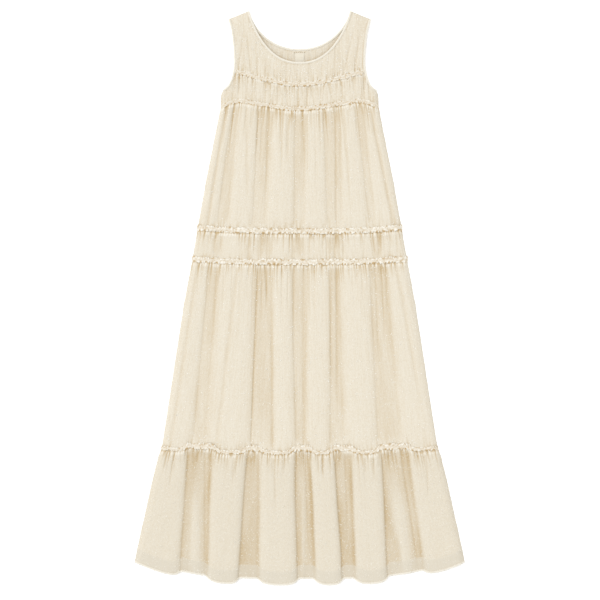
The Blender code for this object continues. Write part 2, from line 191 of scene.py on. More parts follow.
@dataclass(frozen=True)
class Crease:
    """A soft trough along a panel, or a ridge where its depth is below 0.

    Places and sizes are in millimetres. first and last are its x at the panel's first and last edge, and it
    shows from start to end, as shares of the way between them.
    """

    first: float
    last: float
    start: float
    end: float
    depth: float
    width: float

    def press(self, x: Array, down: Array) -> Array:
        """How deep it presses the cloth, in metres, at x and a share of the way from its first edge."""
        away = x - mix(self.first, self.last, down) * MM
        fade = max(0.04, 0.45 * (self.end - self.start))
        run = smooth_step((self.end - down) / fade)
        if self.start > 0.0:
            run = run * smooth_step((down - self.start) / fade)
        return bell(away, self.width * MM) * run * self.depth * MM


def creases(*rows: tuple) -> tuple:
    """Creases from rows of their six numbers."""
    return tuple(Crease(*row) for row in rows)


@dataclass(frozen=True)
class Gathers:
    """Small creases that run out of a gathered seam, at random.

    Sizes are in millimetres. reach is how far over the panel they run, as shares of its length, depth and
    width hold their smallest and largest, and spread is how much further apart they end than they start.
    from_last lets them run out of the panel's last edge.
    """

    half: float
    spacing: float
    reach: tuple
    depth: tuple
    width: tuple
    seed: int
    from_last: bool = False
    spread: float = 1.0

    def creases(self) -> tuple:
        """The creases, unevenly spaced."""
        draw = np.random.default_rng(self.seed)
        made, x = [], -self.half + self.spacing * draw.uniform(0.3, 0.9)
        while x < self.half:
            reach = draw.uniform(*self.reach) * draw.uniform(0.5, 1.0)
            depth, width = draw.uniform(*self.depth), draw.uniform(*self.width)
            start, end = (1.0 - reach, 1.2) if self.from_last else (0.0, reach)
            first, last = (x / self.spread, x) if self.from_last else (x, x * self.spread)
            made.append(Crease(first, last, start, end, depth, width))
            x += self.spacing * draw.uniform(0.55, 1.45)
        return tuple(made)


@dataclass(frozen=True)
class FineGathers:
    """Dense small gathers beside a seam, uneven in place, depth and length.

    Sizes are in metres. spacing is the usual distance between valleys, height is the ridges' and reach holds
    the shortest and the longest run.
    """

    spacing: float
    height: float
    reach: tuple
    seed: int

    def wave(self, x: Array, beyond: Array) -> tuple[Array, Array]:
        """The gathers' ridges and valleys.

        Args:
            x: Where along the seam.
            beyond: Distance from the edge of the seam's frill.

        Returns:
            How full the ridges are there, from 0 to 1, and how strongly shade is painted in the valleys,
            from 0 to about 1.3.
        """
        wander = soft_noise(x / 0.017, 0.5, self.seed) * self.spacing * 0.6
        along = np.sqrt(np.maximum(beyond, 0.0) + 0.001) * 1.1 + 0.5

        def uneven(place: Array) -> Array:
            """The wave that the gathers follow, which crosses 0 in each of their valleys."""
            return soft_noise((place + wander) / (self.spacing * 0.72), along, self.seed + 1)

        here = uneven(x)
        slope = np.abs(uneven(x + SLOPE_STEP) - here) / SLOPE_STEP
        away = np.abs(here) / (slope + 25.0)
        long = (0.5 + 0.5 * soft_noise(x / (self.spacing * 1.9), 0.5, self.seed + 2)) ** 1.6
        reach = mix(*self.reach, long)
        fade = np.exp(-((np.maximum(beyond, 0.0) / reach) ** 1.4))
        strength = 0.90 + 0.45 * soft_noise(x / (self.spacing * 1.1), 0.5, self.seed + 3)
        # How strongly shade is painted along the gathers' valleys
        valley_shade = bell(away, 0.0007 + 0.0017 * fade) * fade * strength
        return np.clip(away / 0.0042, 0.0, 1.0) ** 0.7 * fade, valley_shade


@dataclass(frozen=True)
class Fold:
    """A raised fold. None as an edge means that it runs out to the side seam.

    The edges are x in metres at the top and the bottom of the tier, and rise is its height. tuck is how far
    its right wall leans over, shoulder is how far each edge draws in where it is gathered into the seam, and
    sway is how far the edges wander.
    """

    left_top: float | None
    right_top: float | None
    left_bottom: float | None
    right_bottom: float | None
    rise: float
    tuck: float = 0.0007
    shoulder: float = 0.0
    sway: float = 0.0018

    def edges(self, down: Array, half: Array) -> tuple[Array, Array]:
        """Its left and right edge.

        Args:
            down: Share of the way down the tier.
            half: The tier's half width there.

        Returns:
            x of the left and of the right edge.
        """
        drawn_in = self.shoulder * bell(down, 0.05)
        left, right = -half, half
        if self.left_top is not None:
            left = mix(self.left_top, self.left_bottom, down) + drawn_in + self.wander(down, 0.5)
        if self.right_top is not None:
            right = mix(self.right_top, self.right_bottom, down) - drawn_in + self.wander(down, 2.5)
        return left, right

    def wander(self, down: Array, row: float) -> Array:
        """How far an edge strays, on a row of the random pattern that depends on the fold's own sizes."""
        own_row = self.rise * 4000.0 + (self.left_top or 0.0) * 100.0
        return self.sway * soft_noise(down * 2.6, own_row + row, 53)

    def arch(self, x: Array, down: Array, half: Array, slack: float, crisp: tuple) -> Array:
        """0 outside the fold, and 1 along its top.

        Args:
            x, down: Where on the tier.
            half: The tier's half width there.
            slack: 0.5 for a fold with steep sides, and 1 for a shallow swell.
            crisp: How flat its top stays towards its left and its right edge, from 2 up.

        Returns:
            The share of its rise.
        """
        left, right = self.edges(down, half)
        across = np.clip((x - left) / (right - left), 0.0, 1.0) * 2.0 - 1.0
        power = np.where(across < 0.0, *crisp)
        return np.clip(1.0 - np.abs(across) ** power, 0.0, 1.0) ** slack


@dataclass(frozen=True)
class FoldSet:
    """The raised folds of one tier, from left to right.

    full is the share of their stated rise that they have, slack and crisp give the form of their arches, tint
    is how strongly shade is painted on the cloth between them, edge is the share of an arch over which that
    painted shade fades out, and fade is the share of it that is gone at the tier's foot.
    """

    folds: tuple
    slack: float = 0.5
    crisp: tuple = (3.6, 2.6)
    full: float = 1.0
    tint: float = 0.3
    edge: float = 0.8
    fade: float = 0.0

    def arches(self, x: Array, down: Array, half: Array) -> list:
        """Each fold's share of its rise."""
        return [fold.arch(x, down, half, self.slack, self.crisp) for fold in self.folds]

    def raised(self, x: Array, down: Array, half: Array) -> Array:
        """How much of a fold's rise the cloth has there, from 0 to 1."""
        return np.max(self.arches(x, down, half), axis=0)

    def height(self, x: Array, down: Array, half: Array) -> Array:
        """Height of the folds over the sunk cloth."""
        arches = self.arches(x, down, half)
        return self.full * np.max([fold.rise * arch for fold, arch in zip(self.folds, arches)], axis=0)

    def lean(self, x: Array, down: Array, half: Array) -> Array:
        """How far the folds' right walls lean to the right."""
        total = np.zeros(np.broadcast(x, down).shape)
        for fold, arch in zip(self.folds, self.arches(x, down, half)):
            if fold.right_top is not None:
                _, right = fold.edges(down, half)
                total = total + fold.tuck * self.full * 4.0 * arch * (1.0 - arch) * bell(x - right, 0.014)
        return total

    def shade_and_mottle(self, x: Array, down: Array, half: Array) -> Array:
        """How strongly shade is painted on the cloth between the folds, and most of all against their walls.
        """
        edges = [edge for fold in self.folds for edge in fold.edges(down, half)]
        wall = np.max([bell(x - edge, 0.0042) for edge in edges], axis=0)
        sunk = 1.0 - smooth_step(self.raised(x, down, half) / self.edge)
        return self.tint * (1.0 - self.fade * down) * sunk * (1.0 + 0.5 * wall)


UPPER_FOLDS = FoldSet(
    (
        Fold(None, -0.1612, None, -0.2017, 0.0060),
        Fold(-0.1500, -0.1000, -0.1748, -0.1160, 0.0072),
        Fold(-0.0650, -0.0097, -0.0845, -0.0120, 0.0085),
        Fold(0.0160, 0.0560, 0.0110, 0.0680, 0.0072),
        Fold(0.0985, 0.1380, 0.1033, 0.1730, 0.0072),
        Fold(0.1540, None, 0.1863, None, 0.0055),
    ),
    slack=0.85,
    full=0.42,
    tint=0.25,
    fade=0.55,
)
WAIST_FOLDS = FoldSet(
    (
        Fold(None, -0.2060, None, -0.2110, 0.0045),
        Fold(-0.1895, -0.1010, -0.1919, -0.1010, 0.0055),
        Fold(-0.0700, -0.0170, -0.0720, -0.0190, 0.0055),
        Fold(0.0057, 0.0741, 0.0082, 0.0741, 0.0050),
        Fold(0.0960, 0.1760, 0.0960, 0.1800, 0.0050),
        Fold(0.1960, None, 0.1985, None, 0.0045),
    ),
    slack=0.85,
    full=0.36,
    tint=0.18,
)
MIDDLE_FOLDS = FoldSet(
    (
        Fold(None, -0.2170, None, -0.2605, 0.0080),
        Fold(-0.1990, -0.1020, -0.2310, -0.1200, 0.0115, 0.0003),
        Fold(-0.0700, -0.0187, -0.0660, -0.0075, 0.0100),
        Fold(0.0180, 0.0789, 0.0120, 0.0750, 0.0092),
        Fold(0.0950, 0.1741, 0.1060, 0.1900, 0.0100),
        Fold(0.2080, None, 0.2449, None, 0.0080),
    ),
    slack=0.90,
    crisp=(2.6, 3.0),
    full=0.38,
    tint=0.28,
    edge=0.9,
    fade=0.30,
)
FLOUNCE_FOLDS = FoldSet(
    (
        Fold(None, -0.2700, None, -0.2900, 0.0110, 0.0004, 0.0045),
        Fold(-0.2150, -0.1270, -0.2270, -0.1500, 0.0160, 0.0004, 0.0045),
        Fold(-0.1010, -0.0100, -0.1000, -0.0050, 0.0165, 0.0004, 0.0045),
        Fold(0.0230, 0.0863, 0.0375, 0.1040, 0.0150, 0.0004, 0.0045),
        Fold(0.1229, 0.2009, 0.1351, 0.2140, 0.0155, 0.0004, 0.0045),
        Fold(0.2600, None, 0.3010, None, 0.0115, 0.0004, 0.0045),
    ),
    slack=0.95,
    crisp=(4.5, 5.2),
    full=0.47,
    tint=0.49,
    edge=0.75,
)

UPPER_CREASES = creases(
    (-178, -226, 0, 1.3, 1.7, 3.7),
    (-128, -128, 0, 0.9, 0.8, 3.7),
    (-72, -88, 0, 1.0, 1.4, 2.5),
    (-48, -42, 0, 0.40, 0.8, 2.5),
    (-31, -31, 0, 0.50, 1.2, 2.5),
    (9, 14, 0, 0.55, 1.5, 2.5),
    (28, 29, 0, 0.18, 1.4, 2.5),
    (87, 89, 0, 1.3, 1.7, 2.5),
    (106, 128, 0, 0.95, 1.0, 3.1),
    (169, 231, 0, 1.3, 1.9, 3.7),
)
WAIST_CREASES = creases(
    (-245, -248, 0, 1.3, 0.8, 2.5),
    (-221, -223, 0, 1.3, 0.5, 2.5),
    (-124, -124, 0, 1.3, 1.0, 2.5),
    (-93, -95, 0, 1.3, 1.1, 1.9),
    (-77, -80, 0, 1.3, 0.8, 2.5),
    (-24, -26, 0, 1.3, 0.9, 1.9),
    (1, 1, 0, 1.3, 0.7, 2.5),
    (23, 21, 0, 0.9, 0.6, 2.5),
    (57, 55, 0, 1.3, 0.5, 2.5),
    (86, 84, 0, 1.3, 1.1, 2.5),
    (106, 106, 0.3, 1.3, 0.8, 2.5),
    (159, 155, 0, 1.3, 0.6, 2.5),
    (189, 194, 0, 1.3, 1.1, 2.5),
    (223, 219, 0, 1.3, 0.6, 2.5),
    (236, 238, 0, 1.3, 0.8, 2.5),
)
MIDDLE_CREASES = creases(
    (-101, -119, 0, 1.4, 1.4, 2.0),
    (-246, -316, 0, 1.3, 1.0, 4.3),
    (-150, -204, 0, 1.3, 1.0, 5),
    (-124, -126, 0, 0.09, 1.4, 2.5),
    (-84, -62, 0, 0.25, 1.5, 2.5),
    (-68, -66, 0.05, 1.4, 1.2, 3.7),
    (-43, -43, 0, 0.10, 1.2, 2.5),
    (8, 9, 0, 1.2, 0.8, 3.1),
    (35, 37, 0, 0.35, 0.8, 3.1),
    (55, 55, 0, 0.09, 1.2, 2.5),
    (90, 92, 0, 0.9, 1.4, 3.1),
    (137, 150, 0, 0.13, 1.0, 2.5),
    (233, 313, 0, 0.9, 1.0, 4.3),
)
FLOUNCE_CREASES = creases(
    (-322, -368, 0, 0.20, 1.3, 2),
    (-304, -345, 0, 0.34, 1.3, 2),
    (-287, -320, 0, 0.14, 0.9, 1.9),
    (-256, -252, 0.10, 1.4, -3.0, 12),
    (-250, -262, 0, 0.16, 1.4, 1.9),
    (-231, -230, 0, 1.2, 1.2, 2.5),
    (-209, -216, 0, 0.16, 1.3, 1.9),
    (-195, -205, 0, 0.08, 0.9, 1.9),
    (-180, -190, 0, 0.18, 1.0, 1.9),
    (-160, -172, 0, 0.28, 1.2, 2.1),
    (-145, -152, 0, 0.12, 1.0, 1.9),
    (-113, -112, 0, 0.16, 1.2, 1.9),
    (-85, -88, 0, 0.08, 0.9, 1.9),
    (-62, -53, 0, 0.50, 1.3, 2.7),
    (-47, -42, 0, 0.10, 0.9, 1.9),
    (-35, -33, 0, 0.13, 1.0, 1.9),
    (8, 9, 0.10, 1.3, -1.2, 4),
    (13, 24, 0, 0.90, 1.2, 2.1),
    (38, 41, 0, 0.08, 0.9, 1.9),
    (54, 62, 0, 0.20, 1.5, 2),
    (70, 76, 0, 0.09, 0.9, 1.9),
    (96, 102, 0, 0.12, 1.2, 1.9),
    (110, 120, 0, 0.80, 1.2, 2.5),
    (140, 146, 0, 0.09, 1.0, 1.9),
    (159, 166, 0, 0.19, 1.4, 2),
    (179, 186, 0, 0.10, 1.0, 1.9),
    (224, 262, 0.06, 1.4, -3.0, 14),
    (216, 226, 0, 0.16, 1.0, 1.9),
    (244, 290, 0, 1.2, 1.5, 2.5),
    (262, 290, 0, 0.14, 1.2, 1.9),
    (284, 310, 0, 0.18, 1.3, 1.9),
    (307, 322, 0, 0.42, 1.3, 2.2),
    (322, 345, 0, 0.12, 1.2, 1.9),
)
CHEST_CREASES = creases(
    (-172, -182, 0, 1.3, 1.1, 2.5),
    (-157, -165, 0, 1.3, 1.4, 2.2),
    (-146, -150, 0, 1.0, 1.6, 2.2),
    (-114, -116, 0, 0.9, 0.8, 2.5),
    (-82, -84, 0, 0.8, 0.9, 2.5),
    (-54, -52, 0, 0.9, 1.3, 2.2),
    (-32, -30, 0, 1.3, 0.8, 2.5),
    (-4, -4, 0, 1.3, 1.6, 2.2),
    (19, 18, 0, 1.3, 1.0, 2.2),
    (29, 34, 0, 0.8, 1.0, 2.2),
    (52, 50, 0, 1.3, 0.9, 2.5),
    (67, 84, 0, 1.3, 1.1, 2.2),
    (101, 106, 0, 1.3, 1.0, 2.5),
    (131, 133, 0, 0.8, 0.8, 2.5),
    (155, 158, 0, 1.0, 2.5, 2),
    (163, 173, 0, 1.3, 1.3, 2),
)
YOKE_CREASES = creases(
    (-150, -128, 0, 0.8, 0.8, 2.2),
    (-118, -135, 0, 0.75, 0.9, 2.2),
    (-102, -98, 0, 0.45, 0.7, 2.2),
    (-80, -88, 0, 0.40, 0.8, 2.2),
    (-60, -72, 0, 0.35, 0.7, 2.2),
    (-34, -40, 0, 0.30, 0.6, 1.9),
    (-13, -46, 0, 0.30, 0.9, 1.9),
    (-9, 20, 0, 0.24, 0.8, 1.9),
    (28, 30, 0, 0.35, 0.6, 1.9),
    (50, 62, 0, 0.38, 0.8, 1.9),
    (66, 78, 0, 0.40, 0.8, 1.9),
    (84, 90, 0, 0.75, 0.9, 1.9),
    (105, 146, 0, 0.8, 1.0, 2.2),
    (132, 158, 0, 0.75, 1.1, 2.2),
)


@dataclass(frozen=True)
class Outline:
    """The dress's edges and how high its panels lie.

    side, yoke_armhole and chest_armhole are x and y of points on the right edge, the first one from the hem
    to the underarm and the others from the shoulder down. front_neck and back_neck are the neck's depth, and
    two powers that give its curve.
    """

    side: tuple = (
        (0.4026, -0.6435),
        (0.3890, -0.5800),
        (0.3587, -0.4440),
        (0.3440, -0.3850),
        (0.3355, -0.3645),
        (0.2818, -0.0142),
        (0.2612, 0.0952),
        (0.2478, 0.1718),
        (0.2294, 0.2787),
        (0.1918, 0.4665),
        (0.1880, 0.5063),
    )
    shoulder_end: tuple = (0.1737, 0.6800)
    yoke_armhole: tuple = (
        (0.1737, 0.6800),
        (0.1667, 0.6544),
        (0.1620, 0.6200),
        (0.1598, 0.5900),
        (0.1598, 0.5660),
        (0.1625, 0.5480),
    )
    chest_armhole: tuple = ((0.1625, 0.5480), (0.1675, 0.5310), (0.1755, 0.5160), (0.1880, 0.5063))
    neck_half: float = 0.1220
    neck_top: float = 0.7000
    front_neck: tuple = (0.1250, 2.3, 0.78)
    back_neck: tuple = (0.0920, 2.15, 0.68)

    def half_width(self, y: Array) -> Array:
        """Half width between the side seams at y, with the slight waver of a sewn edge."""
        waver = soft_noise(np.asarray(y) / 0.013, 0.5, 3) * 0.0005
        out, up = np.transpose(self.side)
        return np.interp(y, up, out) + waver

    def side_distance(self, x: Array, y: Array) -> Array:
        """Distance from the side seam, which ends at the underarm."""
        underarm_x, underarm_y = self.side[-1]
        above = np.hypot(underarm_x - np.abs(x), y - underarm_y)
        return np.where(y <= underarm_y, self.half_width(y) - np.abs(x), above)

    def shoulder_distance(self, x: Array, y: Array) -> Array:
        """Distance from the shoulder seam, square to it."""
        run = self.shoulder_end[0] - self.neck_half
        drop = self.neck_top - self.shoulder_end[1]
        below = (self.neck_half - np.abs(x)) * drop + (self.neck_top - y) * run
        return np.maximum(0.0, below / math.hypot(run, drop))

    def back_height(self, x: Array, y: Array) -> Array:
        """Middle of the back panels, which the frills under them hold off the surface."""
        lift = np.zeros(np.broadcast(x, y).shape)
        for seam in SEAMS:
            beyond = np.abs(y - seam.line(Side.FRONT, x)) - seam.frill_half
            lift = np.maximum(lift, 1.0 - smooth_step(beyond / (RAMP_LENGTH - seam.frill_half)))
        return BACK_MIDDLE + FRILL_ROOM * lift

    def front_height(self, x: Array, y: Array) -> Array:
        """Middle of the front panels without their folds, low at the side and shoulder seams."""
        low = self.back_height(x, y) + WALL
        share = rounded(self.side_distance(x, y), SIDE_ROLL)
        return mix(low, FRONT_MIDDLE, share * rounded(self.shoulder_distance(x, y), SHOULDER_ROLL))

    def height(self, side: Side, x: Array, y: Array) -> Array:
        """Middle of the front or back panels without their folds."""
        return self.front_height(x, y) if side is Side.FRONT else self.back_height(x, y)

    def neck(self, side: Side, count: int) -> Array:
        """The neck's edge from the left neck point round to the right one."""
        depth, power, roundness = self.front_neck if side is Side.FRONT else self.back_neck
        across = np.sin(np.linspace(-1.0, 1.0, 400) * math.pi / 2)
        y = self.neck_top - depth * (1.0 - np.abs(across) ** power) ** roundness
        path = np.stack([self.neck_half * across, y], axis=1)
        along = path_lengths(path)
        at = np.linspace(0.0, along[-1], count)
        return np.stack([np.interp(at, along, path[:, axis]) for axis in (0, 1)], axis=1)

    def armhole(self, count: int, inside: float = 0.0) -> Array:
        """The right armhole's edge from the shoulder to the underarm, moved into the cloth."""
        return moved_right(even_path(self.yoke_armhole + self.chest_armhole[1:], count), inside)


@dataclass(frozen=True)
class Seam:
    """A cross seam, the same on both halves, with the folds of the tiers above and below it.

    out and up are x and y of points on its right half. frill_half is how far from it the frill holds up the
    cloth, heading is half the visible frill's width, and draw_up is how far it rises where the cloth below
    sinks.
    """

    name: str
    out: tuple
    up: tuple
    frill_half: float
    above: FoldSet | None = None
    below: FoldSet | None = None
    draw_up: float = 0.0
    heading: float = 0.0060

    @property
    def half(self) -> float:
        """Half its length."""
        return self.out[-1]

    @property
    def centre(self) -> float:
        """Its y in the middle."""
        return self.up[0]

    def plain_line(self, x: Array) -> Array:
        """Its y at x, on one smooth curve."""
        out, up = np.array(self.out), np.array(self.up)
        places = np.concatenate((-out[:0:-1], out))
        values = np.concatenate((up[:0:-1], up))
        return read_smoothly(places, values, np.clip(x, -out[-1], out[-1]))

    def line(self, side: Side, x: Array) -> Array:
        """Its y at x, which on the front is drawn up where the cloth below is sunk."""
        return self.plain_line(x) + (self.draw_up * self.sunk(x) if side is Side.FRONT else 0.0)

    def sunk(self, x: Array) -> Array:
        """How far the cloth below it is sunk between folds there, from 0 to 1."""
        if self.below is None:
            return np.zeros(np.shape(x))
        spread = [self.below.raised(x + step, 0.0, self.half) for step in (-0.006, -0.002, 0.002, 0.006)]
        return (1.0 - np.mean(spread, axis=0)) * smooth_step((self.half - np.abs(x)) / 0.05)

    def lift(self, x: Array) -> Array:
        """How high the folds carry it over the plain front."""
        parts = []
        if self.above is not None:
            parts.append(self.above.height(x, 1.0, self.half))
        if self.below is not None:
            parts.append(self.below.height(x, 0.0, self.half))
        return SEAM_KEEPS * np.mean(parts, axis=0) if parts else np.zeros(np.shape(x))


YOKE_SEAM = Seam(
    "yoke",
    (0.0, 0.044, 0.075, 0.112, 0.140, 0.1625),
    (0.5200, 0.5235, 0.5305, 0.5390, 0.5475, 0.5480),
    0.006,
    heading=0.0054,
)
CHEST_SEAM = Seam(
    "chest",
    (0.0, 0.044, 0.075, 0.112, 0.146, 0.170, 0.1918),
    (0.4610, 0.4640, 0.4695, 0.4750, 0.4805, 0.4750, 0.4665),
    0.006,
    below=UPPER_FOLDS,
    heading=0.0054,
)
WAIST_TOP_SEAM = Seam(
    "waist_top",
    (0.0, 0.125, 0.205, 0.2478),
    (0.1630, 0.1642, 0.1682, 0.1718),
    0.0085,
    UPPER_FOLDS,
    WAIST_FOLDS,
    heading=0.0074,
)
WAIST_BOTTOM_SEAM = Seam(
    "waist_bottom",
    (0.0, 0.125, 0.205, 0.2612),
    (0.0880, 0.0892, 0.0922, 0.0952),
    0.0085,
    WAIST_FOLDS,
    MIDDLE_FOLDS,
    heading=0.0074,
)
FLOUNCE_SEAM = Seam(
    "flounce",
    (0.0, 0.150, 0.250, 0.3355),
    (-0.3755, -0.3745, -0.3705, -0.3645),
    0.0085,
    MIDDLE_FOLDS,
    FLOUNCE_FOLDS,
    draw_up=0.011,
)
SEAMS = (YOKE_SEAM, CHEST_SEAM, WAIST_TOP_SEAM, WAIST_BOTTOM_SEAM, FLOUNCE_SEAM)
OUTLINE = Outline()


@dataclass(frozen=True)
class Hem:
    """The hem's arc, drawn up between the front's raised folds, and cut shorter at the back.

    bulge is how full each scallop stays towards its left and its right end, from 2 up.
    """

    centre: float = -0.7000
    corner: tuple = (0.4026, -0.6435)
    power: float = 3.4
    draw_up: float = 0.014
    bulge: tuple = (2.2, 3.6)
    back_inside: float = 0.004
    front_up: float = 0.003
    side_length: float = 0.050

    @property
    def half(self) -> float:
        """Half its length."""
        return self.corner[0]

    def line(self, side: Side, x: Array) -> Array:
        """Its y at x."""
        x = np.asarray(x)
        arc = self.centre + (self.corner[1] - self.centre) * (np.abs(x) / self.half) ** self.power
        inside = np.clip((self.half - np.abs(x)) / self.side_length, 0.0, 1.0)
        if side is Side.BACK:
            return arc + self.draw_up * inside + self.back_inside
        raised = np.mean([self.scallops(x + step) for step in (-0.004, 0.0, 0.004)], axis=0)
        return arc + self.draw_up * (1.0 - raised) * inside + self.front_up * inside

    def scallops(self, x: Array) -> Array:
        """1 in the middle of each raised fold and 0 between them."""
        folds = FLOUNCE_FOLDS.folds
        return np.max([fold.arch(x, 1.0, self.half, 0.55, self.bulge) for fold in folds], axis=0)


HEM = Hem()


@dataclass
class Surface:
    """Points of a cloth's middle, on rows from the bottom up by columns from left to right.

    u and v are where each point lies on the flat cloth, in metres. The last three fields are shares from 0 to
    1:
    how strongly shade is painted on it, with some random mottle, in troughs, creases and beside raised edges;
    how far it belongs to a turned-up hem; and how strongly a highlight is painted on it at ridges and folded
    edges.
    """

    x: Array
    y: Array
    z: Array
    u: Array
    v: Array
    shade_and_mottle: Array
    hem: Array
    pale: Array

    def points(self) -> Array:
        """All points, as rows by columns by three."""
        return np.stack([self.x, self.y, self.z], axis=2)

    def normals(self) -> Array:
        """Unit directions square to the cloth, upwards."""
        points = self.points()
        square = np.cross(np.gradient(points, axis=1), np.gradient(points, axis=0))
        return square / np.maximum(np.linalg.norm(square, axis=2, keepdims=True), 1e-12)


def link(name: str, mesh: bpy.types.Mesh) -> bpy.types.Object:
    """A new object for a mesh, at the origin."""
    piece = bpy.data.objects.new(name, mesh)
    bpy.context.scene.collection.objects.link(piece)
    return piece


def cloth_object(name: str, surface: Surface, thickness: float) -> bpy.types.Object:
    """A sheet of cloth on a surface, with its pattern places and a wall.

    Args:
        name: The piece's name.
        surface: Where the middle of the cloth lies.
        thickness: Of the wall.

    Returns:
        The piece.
    """
    rows, columns = surface.x.shape
    mesh = bpy.data.meshes.new(name)
    work = bmesh.new()
    bmesh.ops.create_grid(work, x_segments=columns - 1, y_segments=rows - 1, size=0.5)
    for face in work.faces:
        face.smooth = True
    work.to_mesh(mesh)
    work.free()
    flat = np.zeros(len(mesh.vertices) * 3)
    mesh.vertices.foreach_get("co", flat)
    flat = flat.reshape(-1, 3)
    column = np.rint((flat[:, 0] + 0.5) * (columns - 1)).astype(int)
    row = np.rint((flat[:, 1] + 0.5) * (rows - 1)).astype(int)
    mesh.vertices.foreach_set("co", surface.points()[row, column].ravel())
    for key, values in (("shade_and_mottle", surface.shade_and_mottle), ("hem", surface.hem), ("pale", surface.pale)):
        layer = mesh.attributes.new(key, "FLOAT", "POINT")
        layer.data.foreach_set("value", values[row, column].astype(np.float32))
    corner = np.zeros(len(mesh.loops), int)
    mesh.loops.foreach_get("vertex_index", corner)
    places = np.stack([surface.u[row, column][corner], surface.v[row, column][corner]], axis=1)
    mesh.uv_layers.new(name="cloth").data.foreach_set("uv", places.ravel())
    mesh.update()
    piece = link(name, mesh)
    wall = piece.modifiers.new("Wall", "SOLIDIFY")
    wall.thickness = thickness
    wall.offset = 0.0
    return piece


def dress(piece: bpy.types.Object, finish: bpy.types.Material, slot: str, *nodes: str) -> bpy.types.Object:
    """Gives a finished piece its material and its place in the frame.

    Args:
        piece: The finished piece.
        finish: Its material.
        slot: The record's slot it belongs to. Not used.
        nodes: The solids it stands for.

    Returns:
        The same piece.
    """
    piece.data.materials.append(finish)
    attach(piece, "root")
    if nodes:
        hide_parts(*nodes)
    log.info("%s: %d faces", piece.name, len(piece.data.polygons))
    return piece


@dataclass(frozen=True)
class Crinkle:
    """The fine crinkle of the cloth, as streaks along its length."""

    amount: float = 0.00011
    seed: int = 11

    def height(self, across: Array, along: Array) -> Array:
        """Height of the crinkle at a place on the cloth, in metres."""
        wander = soft_noise(across / 0.05, along / 0.06, self.seed) * 0.0016
        fine = soft_noise((across + wander) / 0.0042, along / 0.055, self.seed + 1)
        broad = soft_noise((across + wander) / 0.0105, along / 0.12, self.seed + 2)
        return self.amount * (0.55 * fine + 0.75 * broad)


@dataclass(kw_only=True)
class Panel:
    """A cut piece of cloth, with as many columns and rows of points as its folds need.

    flat is the size of its cut, and area the cut's where that isn't a straight strip. slubs is how many of
    them lie on it.
    """

    kind: str
    side: Side
    flat: tuple
    area: float | None = None
    columns: int
    rows: int
    creases: tuple
    gathers: FineGathers
    slubs: int
    crinkle: Crinkle = Crinkle()

    @property
    def name(self) -> str:
        """The name of the solid it stands for."""
        return f"{self.side.value}_{self.kind}"

    def surface(self) -> Surface:
        """Where the panel's cloth lies."""
        raise NotImplementedError


